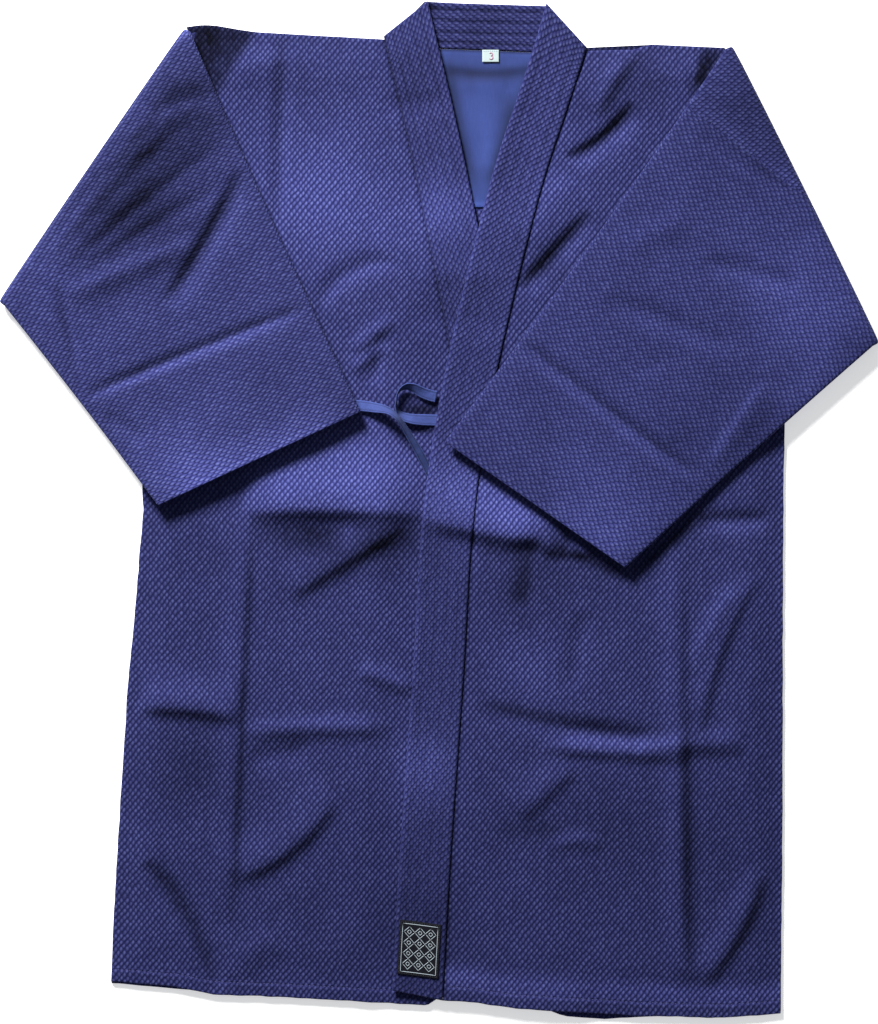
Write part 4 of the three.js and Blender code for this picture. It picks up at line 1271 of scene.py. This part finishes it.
def make_sleeve(name, corners, creases, weave, body_seam=None):
    def at(key):
        return np.array([*corners[key], 0.0])

    up = np.array([0, 0, 1.0])
    fold_top, fold_under = at("fold_top"), at("fold_under")
    armhole_top, armpit = at("armhole_top"), at("armpit")
    widest = (SLEEVE_FLOOR + SLEEVE_DEPTH["middle"]) / 2
    down = unit(fold_under - fold_top)
    out = square_to(down, fold_under - armpit)
    inset = SLEEVE_DEPTH["edge"] / 2
    axis_top = fold_top - out * widest + down * inset
    axis_under = fold_under - out * widest - down * inset
    cuff_down = unit(at("cuff_under") - at("cuff_top"))
    cuff_top = at("cuff_top") + cuff_down * inset
    cuff_under = at("cuff_under") - cuff_down * inset
    cuff_out = square_to(cuff_down, fold_top - cuff_top)
    w = np.linspace(0, 1, SLEEVE_GRID["across"])
    over_depth = lerp(SLEEVE_DEPTH["edge"], SLEEVE_DEPTH["middle"], np.sqrt(np.sin(np.pi * w)))
    radius = (SLEEVE_FLOOR + over_depth) / 2
    axis = lerp(axis_top, axis_under, w[:, None])
    edge_radius = CLOTH / 2
    sections = []

    def add(face, into, depth, unrolled, from_end):
        sections.append((face, into, depth, unrolled, rounded(from_end, edge_radius)))

    length = np.linalg.norm(axis_under - armpit)
    reach = max(length, np.linalg.norm(axis_top - armhole_top))
    for a in places(reach, edge_radius, SLEEVE_GRID["under"])[:-len(EDGE_STEPS)]:
        face = lerp(lerp(armhole_top, axis_top, a), lerp(armpit, axis_under, a), w[:, None])
        depth = np.full(len(w), lerp(SLEEVE_DEPTH["armhole"], SLEEVE_DEPTH["under"], a))
        behind = np.linalg.norm(face - axis, axis=1)
        add(face, up, depth, axis + out * (np.pi * radius + behind)[:, None], a * length)
    for a in np.linspace(0, 1, TURN_STEPS + 1):
        angle = np.pi * (a - 0.5)
        radial = out * math.cos(angle) + up * math.sin(angle)
        unrolled = axis + out * (np.pi * radius * (1 - a))[:, None]
        add(axis + (radial + up) * radius[:, None], -radial, lerp(SLEEVE_DEPTH["under"], over_depth, a),
            unrolled, FAR_FROM_END)
    length = np.linalg.norm(lerp(axis_top, axis_under, 0.5) - lerp(cuff_top, cuff_under, 0.5))
    for a in places(length, edge_radius, SLEEVE_GRID["over"])[len(EDGE_STEPS):]:
        bow = 4 * a * (1 - a)
        top = lerp(axis_top, cuff_top, a) + cuff_down * corners["top_bow"] * bow
        under = lerp(axis_under, cuff_under, a) - cuff_down * corners["under_bow"] * bow
        face = lerp(top, under, w[:, None])
        x, y = face[:, 0], face[:, 1]
        lift = CUFF_LIFT * smooth(a, CUFF_LIFT_START, 1)
        fade = smooth(np.minimum(w, 1 - w), 0, SLEEVE_FADE["edge"]) * smooth(a, 0, SLEEVE_FADE["turn"])
        waves = (crease_height(creases, x, y) + ripples(x, y, SLEEVE_RIPPLES)) * fade
        face[:, 2] = SLEEVE_FLOOR + lift + over_depth + waves
        add(face, -up, over_depth + waves, face, (1 - a) * length)

    faces, inward, depths, flat, rounds = (np.array(column) for column in zip(*sections))
    across = faces[:, -1] - faces[:, 0]
    across /= np.linalg.norm(across, axis=1)[:, None]

    def loops(set_in):
        """Rings round the tube, set in from its outer surface."""
        first = faces + inward[:, None, :] * set_in[:, None, None]
        far = faces + inward[:, None, :] * (depths - set_in[:, None])[..., None]
        rims = []
        for column, outward, sign in ((-1, across, -1), (0, -across, 1)):
            middle = faces[:, column] + inward * (depths[:, column] / 2)[:, None]
            size = depths[:, column] / 2 - set_in
            angles = sign * np.pi * (0.5 - np.arange(1, RIM_STEPS) / RIM_STEPS)
            rims.append(np.stack([middle + outward * (size * math.cos(angle))[:, None]
                                  + inward * (size * math.sin(angle))[:, None] for angle in angles], 1))
        return np.concatenate([first, rims[0], far[:, ::-1], rims[1]], 1)

    def all_round(values):
        """What the first side has, kept over the rims and the far side, and closed."""
        return np.concatenate([values, np.repeat(values[:, -1:], RIM_STEPS - 1, 1), values[:, ::-1],
                               np.repeat(values[:, :1], RIM_STEPS, 1)], 1)

    outer = loops(edge_radius * (1 - rounds))
    inner = loops(CLOTH - edge_radius * (1 - rounds))
    rows, columns = outer.shape[:2]
    rim_reach = np.pi * SLEEVE_DEPTH["edge"] / 2
    steps = np.arange(1, RIM_STEPS) / RIM_STEPS * rim_reach
    along_cuff = (flat - cuff_top) @ cuff_down
    last = along_cuff[:, -1:]
    far_start = last + rim_reach
    far_end = far_start + last - along_cuff[:, :1]
    uv_v = np.concatenate([along_cuff, last + steps, far_start + last - along_cuff[:, ::-1],
                           far_end + steps, far_end + rim_reach], 1)
    uv = np.stack([all_round((flat - cuff_top) @ cuff_out), uv_v], -1).reshape(-1, 2)
    quads = uv_quads = grid_faces(rows, columns + 1)
    if body_seam:
        (x0, y0), (x1, y1) = body_seam
        plan = all_round(flat)
        beyond = (plan[..., 1] - y0) * (x1 - x0) - (plan[..., 0] - x0) * (y1 - y0) > 0
        beyond &= plan[..., 0] > x0 - SEAM_MARGIN
        turned = np.stack([-plan[..., 1], plan[..., 0]], -1).reshape(-1, 2)
        uv_quads = quads + (beyond.ravel()[quads].sum(1) > 1)[:, None] * len(uv)
        uv = np.concatenate([uv, turned])
    index = np.arange(rows * columns).reshape(rows, columns)
    inner_index = rows * columns + index
    inner_index[[0, -1]] = index[[0, -1]]
    outer_faces, inner_faces = (np.concatenate([rings, rings[:, :1]], 1).ravel()[quads]
                                for rings in (index, inner_index))
    used, compact = np.unique(np.concatenate([outer_faces, inner_faces[:, ::-1]]), return_inverse=True)
    points = np.concatenate([outer.reshape(-1, 3), inner.reshape(-1, 3)])
    row = np.arange(rows)
    worn = 1 - smooth(np.minimum(row, row[::-1]), *WORN_ROWS)
    # Random tone with painted light and shade on the sleeve
    painted_light_and_tone = painted_light_and_tone_at(outer[..., 0], outer[..., 1], creases, SLEEVE_PAINTED_SPOTS, SLEEVE_PAINTED_LINES)
    shades = {"wear": np.tile(np.repeat(worn, columns), 2)[used], "painted_light_and_tone": np.tile(painted_light_and_tone.ravel(), 2)[used]}
    uv_faces = np.concatenate([uv_quads, uv_quads[:, ::-1]])
    return add_mesh(name, points[used], compact.reshape(-1, 4), uv, uv_faces, weave, [name],
                    shades)


sleeve_right = make_sleeve("sleeve_right", RIGHT_SLEEVE, RIGHT_SLEEVE_CREASES, RIGHT_SLEEVE_WEAVE)
sleeve_left = make_sleeve("sleeve_left", LEFT_SLEEVE, LEFT_SLEEVE_CREASES, LEFT_SLEEVE_WEAVE,
                          LEFT_ARMHOLE_SEAM)

# Size tag with its number, and the patch at the foot of the band
TAG_FLOOR = FRONT_SEAM_Z + LINING_CLOTH + 2 * SEAM_GAP
TAG_GRID = {"edge": 0.3, "spacing": 1}
PATCH_GRID = {"edge": 0.4, "spacing": 1.5}
LABEL_CLEAR = 0.25
LABEL_SLOPE = math.radians(7.7)
LABEL_LEAN = math.atan2(LEFT_BAND["x"][8] - LEFT_BAND["x"][9], LEFT_BAND["y"][8] - LEFT_BAND["y"][9])


def tag_plan(u, v):
    return (SIZE_TAG["x"] + (u - 0.5) * SIZE_TAG["width"] + 0 * v,
            SIZE_TAG["y"] + (0.5 - v) * SIZE_TAG["length"] + 0 * u)


def label_plan(u, v):
    across = (u - 0.5) * HEM_LABEL["width"]
    along = (0.5 - v) * HEM_LABEL["length"]
    return (HEM_LABEL["x"] + across * math.cos(LABEL_LEAN) + along * math.sin(LABEL_LEAN),
            HEM_LABEL["y"] - across * math.sin(LABEL_SLOPE) + along * math.cos(LABEL_LEAN))


def label_floor(x, y):
    across = (x - left_band_x(y)) / (BAND_WIDTH / 2)
    return left_band_level(x, y, across) + BAND_CLOTH + LABEL_CLEAR


def make_label(name, form, grid, plan, floor, material, uv=None):
    size = (form["width"], form["length"])
    u, v = (places(side, grid["edge"], grid["spacing"]) for side in size)
    lay_cloth(name, u, v, size, LABEL_CLOTH, plan, floor, material, uv=uv)


make_label("size_tag", SIZE_TAG, TAG_GRID, tag_plan, lambda x, y: 0 * x + TAG_FLOOR, TAG)
make_label("hem_label", HEM_LABEL, PATCH_GRID, label_plan, label_floor, PATCH,
           lambda u, v, x, y: ((u - 0.5) * HEM_LABEL["width"], (0.5 - v) * HEM_LABEL["length"]))

# Thread: stitches, the patch's pattern and the tag's number
THREAD_SIDES = 6
THREAD_END = 0.35
STITCH = {"points": 5, "rise": 0.35, "depth": 0.2}
HEM_THREAD = {"pitch": 3.4, "share": 0.72, "radius": 0.26, "sunk": 0.1, "margin": 0.015, "points": 200}
TAG_THREAD = {"pitch": 1.9, "share": 0.7, "radius": 0.16, "from_top": 1.2, "left": 6.6, "right": 6.9}
PATCH_THREAD = {"half_wide": 17.2, "half_high": 23.2, "pitch": 2.2, "share": 0.7, "radius": 0.24,
                "points": 4}
LATTICE = {"half_wide": 14.4, "half_high": 19.2, "columns": 3, "rows": 4, "radius": 0.3, "above": 0.02,
           "border_x": 1.4, "border_y": 2.4, "points": 5, "border_points": 12}
DIAMONDS = (0.5, 0.2)
DIGIT_ROUNDS = table("start end points wide high middle", (150, -90, 16, 1.45, 1.3, 1.6),
                     (90, -150, 18, 1.7, 1.6, -1.3))
DIGIT = {"x": 0.3, "y": -0.2, "above": 0.15, "radius": 0.42}


def tube_of(path, radius):
    """A thread along a path, with closed ends, as points and quads."""
    path = np.asarray(path, float)
    slopes = np.gradient(path, axis=0)
    slopes /= np.linalg.norm(slopes, axis=1)[:, None]
    side = np.cross(slopes, (0, 0, 1.0))
    side /= np.linalg.norm(side, axis=1)[:, None]
    up = np.cross(side, slopes)
    turn = np.arange(THREAD_SIDES) / THREAD_SIDES * 2 * np.pi
    sizes = np.full(len(path), radius)
    sizes[[0, -1]] *= THREAD_END
    ring = side[:, None, :] * np.cos(turn)[None, :, None] + up[:, None, :] * np.sin(turn)[None, :, None]
    points = (path[:, None, :] + ring * sizes[:, None, None]).reshape(-1, 3)
    index = np.arange(len(points)).reshape(len(path), THREAD_SIDES)
    wrapped = np.concatenate([index, index[:, :1]], 1)
    faces = wrapped.ravel()[grid_faces(len(path), THREAD_SIDES + 1)]
    ends = (index[0], index[-1][::-1])
    caps = [end[corners] for corners in ([0, 1, 2, 3], [0, 3, 4, 5]) for end in ends]
    return points, np.concatenate([faces, caps])


def sew(name, paths, radius, material):
    """Many short threads as one joined piece."""
    points, faces, count = [], [], 0
    for path in paths:
        path_points, path_faces = tube_of(path, radius)
        points.append(path_points)
        faces.append(path_faces + count)
        count += len(path_points)
    points = np.concatenate(points)
    faces = np.concatenate(faces)
    add_mesh(name, points, faces, points[:, :2], faces, material, [])


def stitches_along(line, height, form):
    """Stitches on a line of x and y: each goes into the cloth at both of its ends."""
    line = np.asarray(line, float)
    steps = np.linalg.norm(np.diff(line, axis=0), axis=1)
    place = np.concatenate([[0], np.cumsum(steps)])
    t = np.linspace(0, 1, STITCH["points"])
    arch = STITCH["rise"] * np.sin(np.pi * t) - STITCH["depth"]
    paths = []
    for start in np.arange(0, place[-1] - form["pitch"], form["pitch"]):
        x, y = (np.interp(start + form["pitch"] * form["share"] * t, place, line[:, k]) for k in (0, 1))
        paths.append(np.stack([x, y, height(x, y) + arch], -1))
    return paths


def sew_hem(name, plan, length, level):
    margin, count = HEM_THREAD["margin"], HEM_THREAD["points"]
    line = plan(np.linspace(margin, 1 - margin, count), np.full(count, 1 - HEM_STITCH / length))

    def top(x, y):
        return level(x, y) + CLOTH - HEM_THREAD["sunk"]

    paths = stitches_along(np.stack(line, -1), top, HEM_THREAD)
    sew(name, paths, HEM_THREAD["radius"], THREAD)


sew_hem("stitches_hem_right", right_plan, RIGHT_SIZE[1], right_front_floor)
sew_hem("stitches_hem_left", left_plan, LEFT_SIZE[1], left_front_floor)

LABEL_THREAD = thread_material("pale patch thread", (0.42, 0.50, 0.56, 1))
LABEL_EDGE = thread_material("black patch thread", (0.02, 0.022, 0.03, 1))
TAG_INK = thread_material("pink tag thread", (0.42, 0.19, 0.30, 1))


def label_segment(a, b, count):
    across, along = (lerp(a[k], b[k], np.linspace(0, 1, count)) for k in (0, 1))
    x, y = label_plan(0.5 + across / HEM_LABEL["width"], 0.5 - along / HEM_LABEL["length"])
    return np.stack([x, y, label_floor(x, y) + LABEL_CLOTH + LATTICE["above"]], -1)


def sides_of(corners):
    return zip(corners, corners[1:] + corners[:1])


def box_corners(x, y):
    return [(-x, -y), (x, -y), (x, y), (-x, y)]


def lattice_paths():
    """A plain lattice of diamonds, each with a smaller one inside, within a thin border."""
    half_wide, half_high = LATTICE["half_wide"], LATTICE["half_high"]
    wide = 2 * half_wide / LATTICE["columns"]
    high = 2 * half_high / LATTICE["rows"]
    paths = []
    for i in range(LATTICE["columns"]):
        for j in range(LATTICE["rows"]):
            x = -half_wide + (i + 0.5) * wide
            y = -half_high + (j + 0.5) * high
            for size in DIAMONDS:
                corners = [(x, y + high * size), (x + wide * size, y),
                           (x, y - high * size), (x - wide * size, y)]
                paths += [label_segment(a, b, LATTICE["points"]) for a, b in sides_of(corners)]
    border = box_corners(half_wide + LATTICE["border_x"], half_high + LATTICE["border_y"])
    return paths + [label_segment(a, b, LATTICE["border_points"]) for a, b in sides_of(border)]


def patch_edge_paths():
    paths = []
    for a, b in sides_of(box_corners(PATCH_THREAD["half_wide"], PATCH_THREAD["half_high"])):
        a, b = np.array(a), np.array(b)
        count = int(round(math.dist(a, b) / PATCH_THREAD["pitch"]))
        for k in range(count):
            start, end = k / count, (k + PATCH_THREAD["share"]) / count
            paths.append(label_segment(lerp(a, b, start), lerp(a, b, end), PATCH_THREAD["points"]))
    return paths


def digit_path():
    """The tag's plain number: two open rounds, one above the other."""
    rounds = []
    for row in rows_of(DIGIT_ROUNDS):
        turn = np.radians(np.linspace(row["start"], row["end"], int(row["points"])))
        rounds.append(np.stack([row["wide"] * np.cos(turn), row["middle"] + row["high"] * np.sin(turn),
                                0 * turn], -1))
    return np.concatenate(rounds) + (SIZE_TAG["x"] + DIGIT["x"], SIZE_TAG["y"] + DIGIT["y"],
                                     TAG_FLOOR + LABEL_CLOTH + DIGIT["above"])


sew("patch_lattice", lattice_paths(), LATTICE["radius"], LABEL_THREAD)
sew("stitches_patch", patch_edge_paths(), PATCH_THREAD["radius"], LABEL_EDGE)
sew("tag_number", [digit_path()], DIGIT["radius"], TAG_INK)
tag_top = SIZE_TAG["y"] + SIZE_TAG["length"] / 2 - TAG_THREAD["from_top"]
tag_line = [(SIZE_TAG["x"] - TAG_THREAD["left"], tag_top), (SIZE_TAG["x"] + TAG_THREAD["right"], tag_top)]
sew("stitches_tag", stitches_along(tag_line, lambda x, y: 0 * x + TAG_FLOOR + LABEL_CLOTH, TAG_THREAD),
    TAG_THREAD["radius"], TAPE)

# Floor and light
FLOOR_HALF = 4.0
FLOOR_DROP = 0.0004
WINDOW = {"place": (-1.0, 1.98, 1.37), "size": 0.8, "power": 200, "colour": (1.0, 0.985, 0.97)}
ROOM = {"colour": (0.93, 0.96, 1.0, 1), "strength": 0.20}
PAPER = {"colour": (0.95, 0.955, 0.96, 1), "roughness": 0.9, "specular": 0.1}
PAPER_GLOW = 0.5
corners = [(x, y, -FLOOR_DROP) for x, y in box_corners(FLOOR_HALF, FLOOR_HALF)]
floor_mesh = bpy.data.meshes.new("floor")
floor_mesh.from_pydata(corners, [], [(0, 1, 2, 3)])
floor = bpy.data.objects.new("floor", floor_mesh)
bpy.context.scene.collection.objects.link(floor)
paper = Nodes("pale floor")
floor_mesh.materials.append(paper.surface(**PAPER))
paper.shader.inputs["Emission Color"].default_value = (1, 1, 1, 1)
paper.shader.inputs["Emission Strength"].default_value = PAPER_GLOW

light_data = bpy.data.lights.new("window", "AREA")
light_data.shape = "DISK"
light_data.size = WINDOW["size"]
light_data.energy = WINDOW["power"]
light_data.color = WINDOW["colour"]
light = bpy.data.objects.new("window", light_data)
light.location = WINDOW["place"]
light.rotation_euler = (-Vector(WINDOW["place"])).to_track_quat("-Z", "Y").to_euler()
bpy.context.scene.collection.objects.link(light)
world = bpy.data.worlds.new("soft room")
world.use_nodes = True
background = world.node_tree.nodes["Background"]
background.inputs["Color"].default_value = ROOM["colour"]
background.inputs["Strength"].default_value = ROOM["strength"]
bpy.context.scene.world = world
bpy.context.scene.view_settings.view_transform = "Standard"
